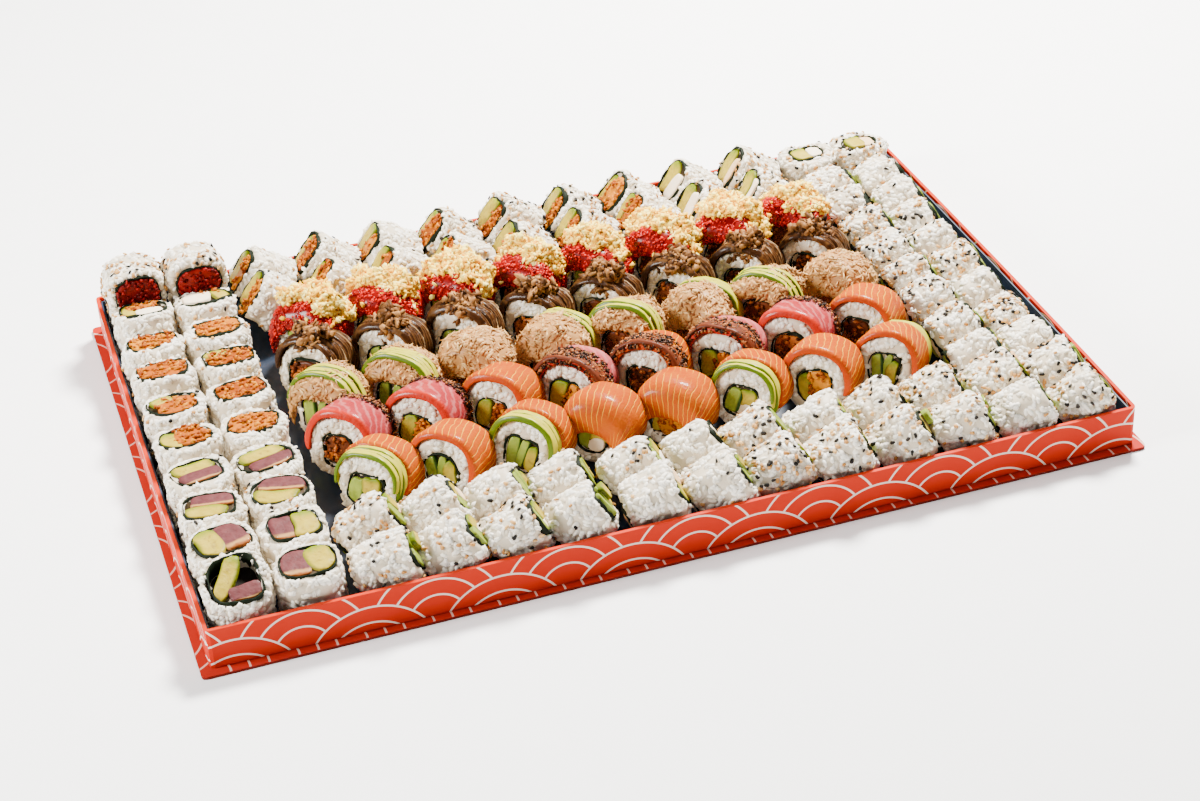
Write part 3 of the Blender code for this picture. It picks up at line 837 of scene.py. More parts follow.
def avocado_finish():
    """Pale yellow flesh that turns green towards the skin."""
    paint = Paint("avocado", Subsurface_Weight=0.1, Subsurface_Radius=(1.0, 0.8, 0.3),
                  Subsurface_Scale=0.002, Coat_Weight=0.04, Coat_Roughness=0.3, Specular_IOR_Level=0.08)
    u, v = paint.axes(paint.place())[:2]
    cloud = paint.noise(220.0, detail=3.0)
    rim = paint.smooth(abs(u) + cloud * 0.3 - 0.15, 0.6, 1.0)
    side = paint.smooth(v * 0.9 + cloud * 0.4 - 0.2, 0.2, 0.9)
    flesh = paint.mix(cloud, (0.29, 0.20, 0.006), (0.49, 0.38, 0.040))
    colour = paint.mix(side, flesh, (0.13, 0.18, 0.003))
    colour = paint.mix(rim * 0.8, colour, (0.06, 0.10, 0.002))
    bruise = paint.smooth(paint.noise(300.0, detail=2.0), 0.58, 0.72)
    colour = paint.mix(bruise * 0.5, colour, (0.16, 0.10, 0.02))
    return paint.finish(colour, 0.4 + cloud * 0.15, cloud, lift=0.0012, strength=0.8)


def cucumber_finish():
    paint = Paint("cucumber", Subsurface_Weight=0.1, Subsurface_Scale=0.002, Coat_Weight=0.05,
                  Specular_IOR_Level=0.1)
    u = paint.axes(paint.place())[0]
    cloud = paint.noise(260.0, detail=3.0)
    skin = paint.smooth(u + cloud * 0.2, 0.55, 0.9)
    flesh = paint.mix(cloud, (0.12, 0.18, 0.008), (0.30, 0.36, 0.05))
    colour = paint.mix(skin, flesh, (0.015, 0.05, 0.003))
    return paint.finish(colour, 0.38 + cloud * 0.1, cloud, lift=0.0010, strength=0.7)


def seared_tuna_finish():
    """Mauve flesh, a thin pale cooked line and a brown crust along one side."""
    paint = Paint("seared_tuna", Coat_Weight=0.04, Specular_IOR_Level=0.08)
    v = paint.axes(paint.place())[1]
    cloud = paint.noise(240.0, detail=4.0)
    flesh = paint.mix(cloud, (0.045, 0.010, 0.012), (0.16, 0.048, 0.048))
    cooked = paint.smooth(cloud * 0.3 - v, 0.62, 0.85)
    crust = paint.smooth(cloud * 0.4 - v, 0.95, 1.1)
    colour = paint.mix(cooked, flesh, (0.40, 0.20, 0.07))
    colour = paint.mix(crust, colour, (0.22, 0.06, 0.010))
    return paint.finish(colour, 0.45 + cloud * 0.2, cloud, lift=0.0012, strength=0.8)


def lump_finish(name, dark, between, pale, roughness=0.45, coat=0.05):
    """Small lumps whose colour runs from dark to pale by each lump's own chance."""
    paint = Paint(name, Subsurface_Weight=0.08, Subsurface_Radius=(1.0, 0.4, 0.2),
                  Subsurface_Scale=0.0015, Coat_Weight=coat, Coat_Roughness=0.2, Specular_IOR_Level=0.08)
    cloud = paint.noise(400.0, detail=3.0)
    tone = paint.axes(paint.place())[2] * 0.7 + cloud * 0.3
    stops = ((0.15, dark), (0.5, between), (0.85, pale))
    colour = paint.node("ShaderNodeValToRGB", {"stops": stops}, tone)
    return paint.finish(colour, roughness + cloud * 0.15, cloud, lift=0.0003, strength=0.6)


# Near-black brown of the bed behind the fillings: painted shade, not a food.
bed = lump_finish("shade_bed", (0.012, 0.008, 0.004), (0.03, 0.02, 0.008), (0.06, 0.035, 0.015))
crab_stick = lump_finish("crab_stick", (0.62, 0.36, 0.16), (0.76, 0.56, 0.34), (0.88, 0.78, 0.62))
minced_salmon = lump_finish("minced_salmon", (0.17, 0.026, 0.0), (0.36, 0.082, 0.0), (0.56, 0.20, 0.0))
minced_dark = lump_finish("minced_dark_fish", (0.035, 0.008, 0.002), (0.16, 0.032, 0.004),
                          (0.42, 0.11, 0.012))
minced_tuna = lump_finish("minced_tuna", (0.05, 0.001, 0.001), (0.14, 0.002, 0.002),
                          (0.30, 0.008, 0.005))
for name, lot, finish, slot in (("nori", nori_sheets, nori_finish(), "rice"),
                                ("filling_beds", filling_beds, bed, "rice"),
                                ("avocado_sticks", sticks["avocado"], avocado_finish(), "rice"),
                                ("cucumber_sticks", sticks["cucumber"], cucumber_finish(), "rice"),
                                ("seared_tuna_sticks", sticks["seared_tuna"], seared_tuna_finish(), "tuna"),
                                ("crab_sticks", sticks["crab_stick"], crab_stick, "crab_salad"),
                                ("minced_salmon", minces["minced_salmon"], minced_salmon, "salmon"),
                                ("minced_dark_fish", minces["minced_dark"], minced_dark, "tuna"),
                                ("minced_tuna", minces["minced_tuna"], minced_tuna, "tuna")):
    lot.piece(name, finish, slot)


# Skins of rice
# The rice of each stretch of rolls is one mesh in place of its solids. It is soft and lumpy on the
# outside, with a rounded rim round each cut face, and sinks away inside the nori.
# The skin itself is painted a darker grey-beige, as painted shade between the grains that lie on it.
RICE_SWELL, SWELL_SIZE = 1.5 * MM, 15 * MM
RICE_RUFFLE, RUFFLE_SIZE = 0.6 * MM, 5.5 * MM
SINK_MARGIN = 0.6 * MM


def ruffle(local, seed, depth, size):
    """Pushes points in and out as the grains under the surface do."""
    pushed = []
    for point in local:
        where = Vector(point) / size + seed
        pushed.append(noise.noise_vector(where) + 0.4 * noise.noise_vector(where * 2.7))
    return local + np.array(pushed) * depth


def rice_skin(roll):
    """Points and faces of a roll's rice, ring after ring from one cut face over to the other."""
    angles = np.linspace(0, 2 * math.pi, AROUND, endpoint=False)
    half = roll.long / 2
    rim = roll.rim
    near = [(share, -rim, -half) for share in (0.2, 0.42, 0.6, 0.74, 0.88)]
    for turn in np.radians((0, 32, 62, 90)):
        near.append((1.0, -rim * (1 - math.sin(turn)), -half + rim * (1 - math.cos(turn))))
    side = [(1.0, 0.0, (-half + rim) + (roll.long - 2 * rim) * step / 7) for step in range(1, 7)]
    far = [(share, grow, -level) for share, grow, level in reversed(near)]
    rings = near + side + far
    local = np.concatenate([np.column_stack([roll.outline(angles, grow) * share,
                                             np.full(AROUND, level)]) for share, grow, level in rings])
    local = np.vstack([local, [[0, 0, -half]], [[0, 0, half]]])
    for hole in roll.holes.values():
        local[hole.holds(local, SINK_MARGIN), 2] -= hole.end * hole.depth
    local = ruffle(local, roll.seed, RICE_SWELL * roll.swell, SWELL_SIZE)
    local = ruffle(local, roll.seed, RICE_RUFFLE, RUFFLE_SIZE)
    count = len(rings) * AROUND
    quads = grid_faces(len(rings), AROUND)
    first = fan_faces(np.arange(AROUND), count, True)
    last = fan_faces(np.arange(count - AROUND, count), count + 1, False)
    return local, [quads, np.vstack([first, last])]


def cooked_rice():
    paint = Paint("cooked_rice", Subsurface_Weight=0.25, Subsurface_Radius=(1.0, 0.8, 0.6),
                  Subsurface_Scale=0.0025, Specular_IOR_Level=0.5)
    cloud = paint.noise(110.0, detail=3.0)
    fine = paint.noise(700.0, detail=2.0)
    tone = paint.axes(paint.place())[0]
    colour = paint.mix(cloud, (0.80, 0.71, 0.55), (0.96, 0.90, 0.79))
    # Painted shade: the skin, whose tone is 0, takes this grey-beige as the shade between grains; grains
    # whose own random tone is low take a little of it.
    colour = paint.mix(paint.smooth(tone, 0.0, 0.4), (0.58, 0.49, 0.36), colour)
    return paint.finish(colour, 0.42 + fine * 0.2, fine, lift=0.0004, strength=0.5)


blocks = {}
for column, rolls in left.items():
    blocks[f"left_{column}"] = (rolls, [f"left_{column}_1", f"left_{column}_2"])
for node, rolls in [*front.items(), *right.items()]:
    blocks[node] = (rolls, [node])
for row, rolls in back.items():
    blocks[f"back_{row}"] = (rolls, [f"back_{row}_1", f"back_{row}_2"])
blocks["right_corner"] = (corner, ["right_corner"])
for kind, rolls in middle.items():
    blocks[f"{kind}_rolls"] = (rolls, [f"{kind}_roll_{i}" for i in range(1, MIDDLE_COLUMNS + 1)])

rice = cooked_rice()
skins = {}
for name, (rolls, nodes) in blocks.items():
    lot = Lot()
    skins[name] = [(roll, rice_skin(roll)) for roll in rolls]
    for roll, (local, faces) in skins[name]:
        lot.add(roll.world(local), faces)
    lot.piece(f"{name}_rice", rice, "rice", *nodes)


# Fish slices
# Slices of raw salmon and tuna lie over the ridge of a roll and hang down its sides, with the
# thick cut edge towards the front. Salmon has pale fat lines and tuna a fine grain.
SLICE_FROM, SLICE_TO = -14, 194
SLICE_THICK = 3.9 * MM
DROOP_BEND = 6.5 * MM
RIPPLE_SIZE = 9 * MM
EDGE_PAST = 1.5 * MM
PEPPER = (2.4 * MM, 1.9 * MM, 1.4 * MM)
PEPPER_PER_SQUARE_METRE = 0.6e6


def drape(lot, roll, start, stop, near, far, thick, lift=0.0, skew=0.0, seed=0.0,
          around=34, along=16, ripple=0.5, droop=0.0):
    """A slice bent over a roll from one angle to another, between two places along it.

    skew turns its ends round the roll, and with droop 1 it hangs down over the near cut face. It
    gives the slice's outer side in the roll's own frame."""
    q = -np.cos(np.linspace(0, math.pi, around))
    q = np.sign(q) * np.abs(q) ** 0.8
    p = -np.cos(np.linspace(0, math.pi, along))
    q_grid, p_grid = np.meshgrid(q, p)
    shape = ((1 - np.abs(p_grid) ** 12) * (1 - np.abs(q_grid) ** 12)).clip(0, 1) ** 0.4
    angle = np.radians(start + (stop - start) * (q_grid + 1) / 2 + skew * p_grid)
    path = near + (far - near) * (p_grid + 1) / 2
    face = -roll.long / 2
    past = np.clip(face + DROOP_BEND - path, 0, None) * droop
    bend = np.minimum(past / DROOP_BEND, math.pi / 2)
    hang = np.clip(past - DROOP_BEND * math.pi / 2, 0, None)
    level = np.where(past > 0, face + DROOP_BEND * (1 - np.sin(bend)), path)
    drop = DROOP_BEND * (1 - np.cos(bend)) + hang
    points = []
    flat = roll.outline(angle)
    radial = flat / np.linalg.norm(flat, axis=-1, keepdims=True)
    for outer in (True, False):
        grow = np.where(outer, shape * thick, -0.6 * MM) + lift
        bumps = np.zeros_like(level)
        if outer:
            for i in np.ndindex(level.shape):
                where = Vector((flat[i][0], flat[i][1], path[i])) / RIPPLE_SIZE
                where = where + roll.seed * 1.7 + Vector((seed, 0, 0))
                bumps[i] = noise.noise(where) + 0.5 * noise.noise(where * 2.3)
            bumps = bumps * ripple * MM * shape
        height = grow + bumps
        place = flat + radial * (height * np.cos(bend))[..., None]
        place[..., 1] -= drop
        place[..., 0] *= 1 - 0.5 * np.clip(hang / roll.high, 0, 1)
        depth = level - height * np.sin(bend)
        points.append(np.concatenate([place, depth[..., None]], -1).reshape(-1, 3))
    count = around * along
    faces = grid_faces(along, around, closed=False)
    border = np.concatenate([np.arange(around), np.arange(1, along) * around + around - 1,
                             np.arange(count - 2, count - around - 1, -1),
                             np.arange(along - 2, 0, -1) * around])
    turned = np.roll(border, -1)
    sides = np.stack([turned, border, border + count, turned + count], -1)
    sheets = [faces, faces[:, ::-1] + count, sides]
    arc = (q_grid * (stop - start) / 2 * math.pi / 180 * roll.wide / 2 / (10 * MM)).reshape(-1)
    place = np.column_stack([arc, (path / (10 * MM)).reshape(-1), p_grid.reshape(-1)])
    local = np.vstack(points)
    lot.add(roll.world(local), sheets, np.vstack([place, place]))
    return local[:count], [faces]


def salmon_finish():
    paint = Paint("salmon_flesh", Subsurface_Weight=0.08, Subsurface_Radius=(1.0, 0.25, 0.1),
                  Subsurface_Scale=0.003, Coat_Weight=0.09, Coat_Roughness=0.14, Specular_IOR_Level=0.04)
    arc, along, end = paint.axes(paint.place())
    cloud = paint.noise(90.0, detail=3.0)
    fine = paint.noise(600.0, detail=3.0)
    wave = paint.node("ShaderNodeMath", {"operation": "SINE"}, arc * 20.0 + along * 6.0 + cloud * 7.0)
    faint = paint.noise(60.0, detail=1.0)
    line = paint.smooth(wave, 0.75, 1.0) * paint.smooth(end, -1.0, -0.9) * paint.smooth(faint, 0.25, 0.5)
    flesh = paint.mix(cloud, (0.28, 0.025, 0.0), (0.44, 0.088, 0.0))
    colour = paint.mix(line * 0.6, flesh, (0.84, 0.38, 0.01))
    # Painted shade: the deeper red at both ends of each slice stands in for the shade at its edges.
    rim = paint.smooth(abs(end), 0.90, 1.0)
    colour = paint.mix(rim * 0.7, colour, (0.38, 0.030, 0.0))
    sheen = paint.noise(45.0, detail=3.0)
    return paint.finish(colour, 0.28 + fine * 0.2, fine * 0.5 - line * 0.5 + sheen * 1.6, lift=0.0008,
                        strength=0.8)


def tuna_finish():
    paint = Paint("tuna_flesh", Subsurface_Weight=0.2, Subsurface_Radius=(1.0, 0.3, 0.2),
                  Subsurface_Scale=0.003, Coat_Weight=0.16, Coat_Roughness=0.16, Specular_IOR_Level=0.05)
    arc, along, end = paint.axes(paint.place())
    cloud = paint.noise(100.0, detail=3.0)
    fine = paint.noise(700.0, detail=3.0)
    wave = paint.node("ShaderNodeMath", {"operation": "SINE"}, arc * 11.0 + along * 8.0 + cloud * 14.0)
    grain = paint.smooth(wave + fine * 0.8, 0.4, 1.5)
    edge = 1.0 - paint.smooth(end, -0.98, -0.7)
    flesh = paint.mix(cloud, (0.20, 0.006, 0.010), (0.36, 0.036, 0.040))
    colour = paint.mix(grain * 0.45, flesh, (0.50, 0.17, 0.16))
    colour = paint.mix(edge, colour, (0.40, 0.016, 0.003))
    pale = paint.smooth(end + cloud * 0.6 - 0.3, 0.1, 0.9)
    colour = paint.mix(pale * 0.5, colour, (0.50, 0.16, 0.15))
    sheen = paint.noise(45.0, detail=3.0)
    return paint.finish(colour, 0.3 + fine * 0.2, fine * 0.5 - grain * 0.2 + sheen * 1.6, lift=0.0008,
                        strength=0.8)


def slice_over(lot, roll, near, far, **shape):
    start = SLICE_FROM + draw.uniform(-6, 4)
    stop = SLICE_TO + draw.uniform(-4, 6)
    roll.covers.append((near, far, start, stop))
    return drape(lot, roll, start, stop, near, far, SLICE_THICK * draw.uniform(0.85, 1.1),
                 skew=draw.uniform(-5, 5), seed=draw.uniform(0, 50), **shape)


def avocado_fan(roll, near, far, count=3, lift=0.0):
    """Thin slices of avocado laid side by side and overlapping across the ridge."""
    step = (far - near) / count
    for index in range(count):
        begin = near + step * index - 0.6 * MM
        drape(avocado_slices, roll, draw.uniform(-16, 6), draw.uniform(172, 196), begin,
              begin + step * draw.uniform(1.1, 1.6), draw.uniform(1.6, 2.6) * MM,
              lift=lift + 0.35 * MM * (index % 2), skew=draw.uniform(-15, 15), around=26, along=9,
              seed=draw.uniform(0, 50), ripple=0.7)
    roll.covers.append((near, far, -10, 190))


salmon_slices = Lot()
tuna_slices = Lot()
avocado_slices = Lot()
seared_edges = Lot()
pepper_crust = Lot()

SALMON_KINDS = ("avocado_front", "plain", "avocado_front", "drooping", "drooping", "avocado_front",
                "plain", "avocado_back")
for roll, kind in zip(middle["salmon"], SALMON_KINDS):
    half = roll.long / 2
    if kind == "avocado_front":
        avocado_fan(roll, -half - MM, -half + 12 * MM, 4)
        slice_over(salmon_slices, roll, -half + 9 * MM, half + MM)
    elif kind == "avocado_back":
        slice_over(salmon_slices, roll, -half - MM, half - 5 * MM)
        avocado_fan(roll, half - 6 * MM, half + MM, 1)
    elif kind == "drooping":
        slice_over(salmon_slices, roll, -half - 15 * MM, half + MM, droop=1.0, along=24)
    else:
        slice_over(salmon_slices, roll, -half - EDGE_PAST, half + MM)

TUNA_KINDS = (("tuna", "back"), ("tuna", "back"), ("salmon", ""), ("tuna", "front"), ("salmon", "front"),
              ("tuna", "front"), ("tuna", "back"), ("salmon", ""))
for roll, (kind, pepper) in zip(middle["tuna"], TUNA_KINDS):
    half = roll.long / 2
    lot = tuna_slices if kind == "tuna" else salmon_slices
    outer_side = slice_over(lot, roll, -half - EDGE_PAST, half + MM)
    if not pepper:
        continue
    side, limit = (1, half - 4.5 * MM) if pepper == "back" else (-1, half - 12 * MM)
    if pepper == "front":
        drape(seared_edges, roll, SLICE_FROM, SLICE_TO, -half - 2.2 * MM, -half + 9 * MM, 1.4 * MM,
              lift=SLICE_THICK - 0.6 * MM, ripple=1.0, seed=draw.uniform(0, 50), along=10)
    strew_over(pepper_crust, roll, outer_side, PEPPER_PER_SQUARE_METRE, PEPPER,
               lambda p, n: p[:, 2] * side > limit - 3 * MM * dice.uniform(-0.3, 1.2, len(p)),
               spread=0.4, sink=-0.6, rough=0.3, chip=True)

seared_edge = lump_finish("seared_edge", (0.10, 0.020, 0.006), (0.24, 0.045, 0.010), (0.40, 0.10, 0.02))
pepper_flecks = lump_finish("pepper", (0.008, 0.005, 0.004), (0.05, 0.018, 0.008), (0.40, 0.13, 0.035),
                            roughness=0.5)
salmon_slices.piece("salmon_slices", salmon_finish(), "salmon")
tuna_slices.piece("tuna_slices", tuna_finish(), "tuna")
seared_edges.piece("seared_edges", seared_edge, "tuna")
pepper_crust.piece("pepper_crust", pepper_flecks, "tuna")


# Crab salad rolls
# Shredded crab bound with mayonnaise is pressed over the ridge. On some rolls thin slices of
# avocado lie fanned over the front or the back half.
SALAD_THICK = 4.6 * MM
SHRED = (6.4 * MM, 2.3 * MM, 1.9 * MM)
SHREDS_PER_SQUARE_METRE = 0.20e6
SALAD_KINDS = ("avocado", "avocado", "plain", "behind", "avocado", "behind", "avocado", "plain")
crab_shreds = Lot()
salad_beds = Lot()
for roll, kind in zip(middle["salad"], SALAD_KINDS):
    half = roll.long / 2
    hang = (6 if kind == "avocado" else 15) * MM
    outer_side = drape(salad_beds, roll, 0, 180, -half - hang, half, SALAD_THICK, ripple=2.2,
                       seed=draw.uniform(0, 50), droop=1.0, along=22)
    roll.covers.append((-half, half, 0, 180))
    strew_over(crab_shreds, roll, outer_side, SHREDS_PER_SQUARE_METRE, SHRED, spread=0.4, sink=0.1,
               lean=0.5, rough=0.3, chip=True)
    if kind == "avocado":
        avocado_fan(roll, -half + MM, -half + 14 * MM, 4, lift=3.6 * MM)
    if kind == "behind":
        avocado_fan(roll, half - 8 * MM, half + MM, 2, lift=3.6 * MM)


def crab_finish():
    paint = Paint("crab_salad", Subsurface_Weight=0.15, Subsurface_Radius=(1.0, 0.6, 0.4),
                  Subsurface_Scale=0.002, Coat_Weight=0.1, Coat_Roughness=0.3, Specular_IOR_Level=0.15)
    tone = paint.axes(paint.place())[2]
    cloud = paint.noise(160.0, detail=3.0)
    speck = paint.smooth(paint.noise(900.0, detail=1.0), 0.66, 0.72)
    flesh = paint.mix(cloud, (0.30, 0.12, 0.024), (0.52, 0.27, 0.085))
    colour = paint.mix(paint.smooth(tone, 0.5, 1.0) * 0.7, flesh, (0.66, 0.42, 0.16))
    colour = paint.mix(speck * 0.7, colour, (0.36, 0.07, 0.012))
    return paint.finish(colour, 0.42 + cloud * 0.15, cloud, lift=0.0005, strength=0.6)


def avocado_slice_finish():
    """Flesh of a thin slice: pale in the middle, with its skin side as a green line at both rims."""
    paint = Paint("avocado_slice", Subsurface_Weight=0.2, Subsurface_Radius=(0.9, 1.0, 0.3),
                  Subsurface_Scale=0.002, Coat_Weight=0.16, Coat_Roughness=0.2, Specular_IOR_Level=0.08)
    end = paint.axes(paint.place())[2]
    cloud = paint.noise(130.0, detail=4.0)
    rim = paint.smooth(abs(end) + cloud * 0.3 - 0.15, 0.5, 0.9)
    flesh = paint.mix(cloud, (0.32, 0.30, 0.004), (0.58, 0.50, 0.04))
    colour = paint.mix(rim, flesh, (0.075, 0.125, 0.001))
    return paint.finish(colour, 0.32 + cloud * 0.15, cloud, lift=0.0004, strength=0.6)


crab = crab_finish()
salad_beds.piece("crab_salad_beds", crab, "crab_salad")
crab_shreds.piece("crab_shreds", crab, "crab_salad")
avocado_slices.piece("avocado_slices", avocado_slice_finish(), "rice")


# Eel rolls
# Strips of glazed grilled eel cross the ridge, side by side and overlapping. A small heap of fried
# crumbs sits on top, made as a lumpy core with loose crumbs all over it.
EEL_STRIPS, STRIP_LONG = 5, 8 * MM
CRUMB_HEAP = np.array([13.5, 11.0, 10.5]) * MM
CRUMB = (5.4 * MM, 3.2 * MM, 2.6 * MM)
CRUMBS_PER_SQUARE_METRE = 0.26e6
HEAP_LOWEST = 34 * MM


def lumpy_ball(size, centre, turn, seed, rough=0.18, steps=12):
    """A heap's core: a ball pressed into an oval, with lumps. Gives its points and faces."""
    rings = [np.array([[0, 0, 1.0]])]
    around = steps * 2
    angles = np.linspace(0, 2 * math.pi, around, endpoint=False)
    for step in range(1, steps):
        tilt = math.pi * step / steps
        rings.append(np.column_stack([np.cos(angles) * math.sin(tilt), np.sin(angles) * math.sin(tilt),
                                      np.full(around, math.cos(tilt))]))
    rings.append(np.array([[0, 0, -1.0]]))
    ball = np.vstack(rings)
    for i, point in enumerate(ball):
        where = Vector(point) * 2.2 + seed
        lump = noise.noise(where) + 0.4 * noise.noise(where * 2.5)
        ball[i] = ball[i] * (1 - rough * 0.5 + rough * lump)
    quads = grid_faces(steps - 1, around)[:, ::-1] + 1
    top = fan_faces(np.arange(1, around + 1), 0, False)
    low = fan_faces(np.arange(len(ball) - 1 - around, len(ball) - 1), len(ball) - 1, True)
    c, s = math.cos(turn), math.sin(turn)
    scaled = ball * np.array(size)
    turned = np.column_stack([scaled[:, 0] * c - scaled[:, 1] * s, scaled[:, 0] * s + scaled[:, 1] * c,
                              scaled[:, 2]])
    return turned + np.array(centre), [quads, np.vstack([top, low])]


eel_strips = Lot()
crumb_cores = Lot()
crumbs = Lot()
for column, roll in enumerate(middle["eel"], start=1):
    half = roll.long / 2
    for index, begin in enumerate(np.linspace(-half - EDGE_PAST, half - 7 * MM, EEL_STRIPS)):
        drape(eel_strips, roll, draw.uniform(-16, 6), draw.uniform(174, 196), begin, begin + STRIP_LONG,
              draw.uniform(1.8, 3.6) * MM, skew=draw.uniform(-16, 16), ripple=1.6, seed=draw.uniform(0, 50),
              lift=(0.2 + 1.1 * (index % 2)) * MM, around=28, along=8)
    roll.covers.append((-half, half, -5, 185))
    low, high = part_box(f"eel_roll_{column}")
    centre = ((low.x + high.x) / 2, (low.y + high.y) / 2, high.z - CRUMB_HEAP[2] + 1.5 * MM)
    points, faces = lumpy_ball(CRUMB_HEAP, centre, -math.radians(MIDDLE_TURN), roll.seed, rough=0.7)
    crumb_cores.add(points, faces, (0.5, 0.5, 0.5))
    spots, normals = sample(points, faces, CRUMBS_PER_SQUARE_METRE,
                            lambda p, n: (p[:, 2] > HEAP_LOWEST) & (n[:, 2] > -0.3))
    strew(crumbs, spots, normals, CRUMB, spread=0.55, sink=-0.25, lean=1.4, rough=0.5)


def eel_finish():
    paint = Paint("glazed_eel", Coat_Weight=0.12, Coat_Roughness=0.12, Specular_IOR_Level=0.06)
    arc, along, end = paint.axes(paint.place())
    cloud = paint.noise(150.0, detail=4.0)
    wave = paint.node("ShaderNodeMath", {"operation": "SINE"}, arc * 3.0 + along * 26.0 + cloud * 9.0)
    colour = paint.mix(cloud, (0.006, 0.002, 0.001), (0.062, 0.020, 0.004))
    colour = paint.mix(paint.smooth(wave, 0.4, 1.0) * 0.5, colour, (0.16, 0.070, 0.020))
    skin = paint.smooth(end + cloud * 0.3 - 0.15, 0.55, 0.85)
    colour = paint.mix(skin, colour, (0.34, 0.22, 0.11))
    char = paint.smooth(paint.noise(260.0, detail=2.0), 0.55, 0.7)
    colour = paint.mix(char * 0.7, colour, (0.010, 0.005, 0.002))
    return paint.finish(colour, 0.22 + cloud * 0.25, wave * 0.2 + cloud * 2.0, lift=0.0010, strength=0.9)


crumb = lump_finish("fried_crumb", (0.026, 0.009, 0.002), (0.12, 0.044, 0.010), (0.38, 0.18, 0.055),
                    roughness=0.5)
eel_strips.piece("eel_strips", eel_finish(), "eel")
crumb_cores.piece("crumb_heaps", crumb, "eel")
crumbs.piece("fried_crumbs", crumb, "eel")


# Roe rolls
# Red roe is pressed over the ridge in a bed of small beads. Pale tempura flakes are heaped along
# its back half, and a few have fallen on the roe.
ROE_THICK = 4.6 * MM
BEAD = (2.6 * MM, 2.2 * MM, 2.0 * MM)
BEADS_PER_SQUARE_METRE = 0.34e6
FLAKE_HEAP, HEAP_BACK = np.array([24.5, 17.0, 18.3]) * MM, 5 * MM
FLAKE, FALLEN_FLAKE = (3.9 * MM, 2.4 * MM, 1.9 * MM), (3.6 * MM, 2.6 * MM, 2.0 * MM)
FLAKES_PER_SQUARE_METRE, FALLEN_PER_SQUARE_METRE = 0.36e6, 0.008e6
roe_beds = Lot()
roe_beads = Lot()
flake_cores = Lot()
flakes = Lot()
for column, roll in enumerate(middle["roe"], start=1):
    half = roll.long / 2
    outer_side = drape(roe_beds, roll, -4, 184, -half - 9 * MM, half, ROE_THICK, ripple=1.8,
                       seed=draw.uniform(0, 50), droop=1.0, along=24)
    roll.covers.append((-half, half, 0, 180))
    strew_over(flakes, roll, outer_side, FALLEN_PER_SQUARE_METRE, FALLEN_FLAKE,
               lambda p, n: p[:, 1] > 6 * MM, spread=0.5, sink=-0.5, lean=1.2, rough=0.4)
    strew_over(roe_beads, roll, outer_side, BEADS_PER_SQUARE_METRE, BEAD,
               lambda p, n: p[:, 2] < 6 * MM, spread=0.35, sink=0.05, lean=0.8, rough=0.2, chip=True)
    low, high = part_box(f"roe_roll_{column}")
    back_of = roll.turn[:, 2] * HEAP_BACK
    centre = ((low.x + high.x) / 2 + back_of[0], (low.y + high.y) / 2 + back_of[1],
              high.z - FLAKE_HEAP[2] - 0.5 * MM)
    points, faces = lumpy_ball(FLAKE_HEAP, centre, -math.radians(MIDDLE_TURN), roll.seed, rough=0.42)
    flake_cores.add(points, faces, (0.5, 0.5, 0.6))
    spots, normals = sample(points, faces, FLAKES_PER_SQUARE_METRE,
                            lambda p, n: (p[:, 2] > HEAP_LOWEST) & (n[:, 2] > -0.5))
    strew(flakes, spots, normals, FLAKE, spread=0.65, sink=-0.3, lean=1.3, rough=0.5)

roe = lump_finish("red_roe", (0.16, 0.0, 0.0), (0.40, 0.001, 0.0), (0.64, 0.014, 0.004),
                  roughness=0.22, coat=0.22)
flake = lump_finish("tempura_flake", (0.74, 0.32, 0.01), (0.95, 0.62, 0.04), (0.99, 0.85, 0.26),
                    roughness=0.5)
roe_beds.piece("roe_beds", roe, "roe")
roe_beads.piece("roe_beads", roe, "roe")
flake_cores.piece("flake_heaps", flake, "roe")
flakes.piece("tempura_flakes", flake, "roe")


# Grains of rice
# The rice shows its short plump grains wherever nothing covers it, pressed half into each other.
# They are split by block, so that no piece gets too many faces.
GRAIN = (5.6 * MM, 3.0 * MM, 2.4 * MM)
GRAINS_PER_SQUARE_METRE = 0.125e6
LOWEST_SEEN = 12 * MM
HOLE_MARGIN = 0.8 * MM


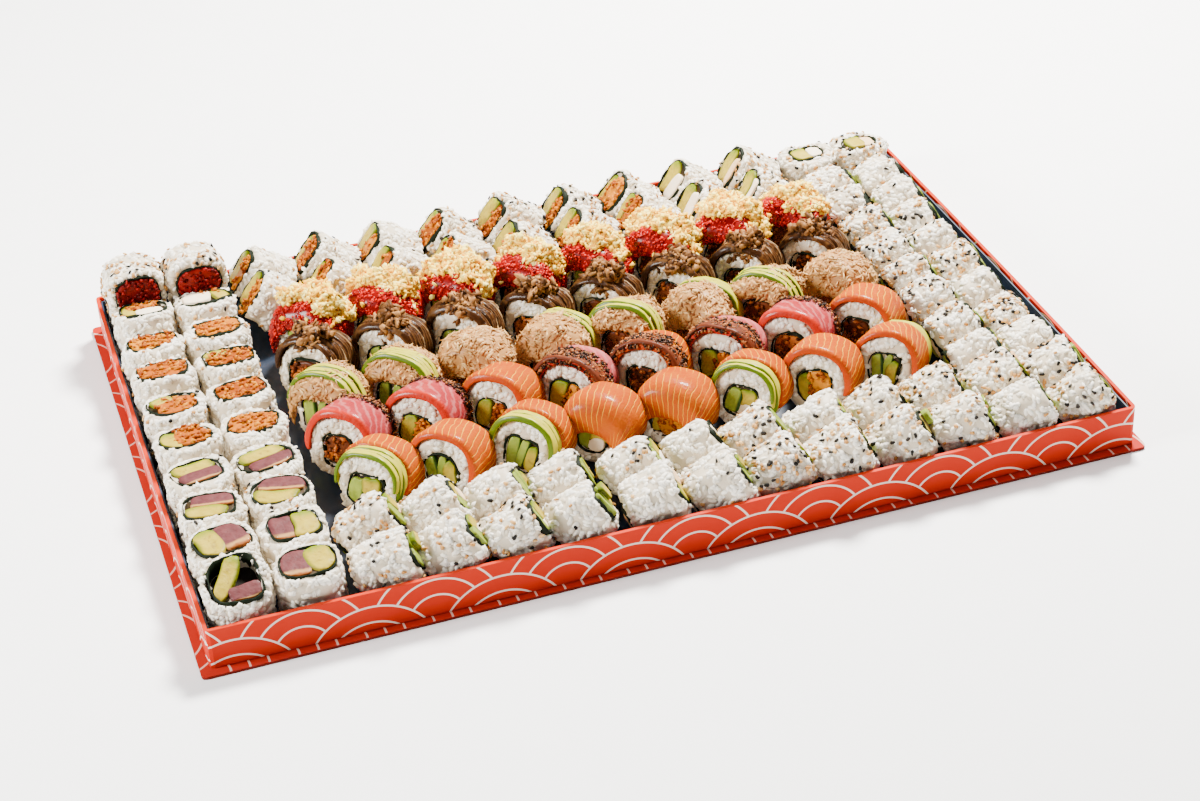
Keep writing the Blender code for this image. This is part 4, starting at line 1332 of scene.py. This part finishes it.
def bare_rice(roll):
    """Tells which places on a roll's skin have rice that shows."""

    def keep(spots, normals):
        up = roll.world(spots)[:, 2]
        facing = (normals @ roll.turn.T)[:, 2]
        kept = (up > LOWEST_SEEN) & (facing > dice.uniform(-0.6, 0.1, len(spots)))
        for hole in roll.holes.values():
            kept &= ~hole.holds(spots, HOLE_MARGIN)
        angle = np.degrees(np.arctan2(spots[:, 1] / roll.high, spots[:, 0] / roll.wide)) % 360
        on_side = np.abs(normals[:, 2]) < 0.7
        for near, far, start, stop in roll.covers:
            inside = ((angle - start - 4) % 360) < (stop - start - 8)
            kept &= ~(inside & on_side & (spots[:, 2] > near) & (spots[:, 2] < far))
        return kept

    return keep


grain_lots = {block: Lot() for block in ("left", "front", "right", "back", "middle")}
for name, stretch in skins.items():
    block = name.split("_")[0]
    lot = grain_lots[block if block in grain_lots else "middle"]
    for roll, skin in stretch:
        strew_over(lot, roll, skin, GRAINS_PER_SQUARE_METRE, GRAIN, bare_rice(roll), sink=0.15, lean=0.3)
for block, lot in grain_lots.items():
    lot.piece(f"rice_grains_{block}", rice, "rice")


# Sesame seeds
# Black and toasted seeds are sprinkled over the plain rolls, thickly on some and hardly on others.
# The two rolls that lie on the left block have the most.
SEED = (3.4 * MM, 2.0 * MM, 1.1 * MM)
SEEDS_PER_SQUARE_METRE = {"front": (20e3, 8e3), "right": (30e3, 14e3), "back": (14e3, 5e3),
                          "left": (4e3, 2e3)}
SEED_SHARES = (0.15, 0.4, 0.8, 1.2, 1.8)
MOST_SEEDED = 7.0
tan_seeds = Lot()
black_seeds = Lot()
for name, stretch in skins.items():
    densities = SEEDS_PER_SQUARE_METRE.get(name.split("_")[0], ())
    for roll, skin in stretch:
        share = draw.choice(SEED_SHARES)
        if roll in (left["outer"][-1], left["inner"][-1]):
            share = MOST_SEEDED
        for lot, density in zip((tan_seeds, black_seeds), densities):
            strew_over(lot, roll, skin, density * share, SEED, bare_rice(roll), sink=-0.9, lean=0.3,
                       taper=0.3)

black_sesame = lump_finish("black_sesame", (0.006, 0.005, 0.004), (0.012, 0.010, 0.008),
                           (0.03, 0.025, 0.02), roughness=0.35)
toasted_sesame = lump_finish("toasted_sesame", (0.36, 0.16, 0.04), (0.50, 0.26, 0.08),
                             (0.64, 0.40, 0.16))
black_seeds.piece("black_sesame", black_sesame, "rice")
tan_seeds.piece("toasted_sesame", toasted_sesame, "rice")
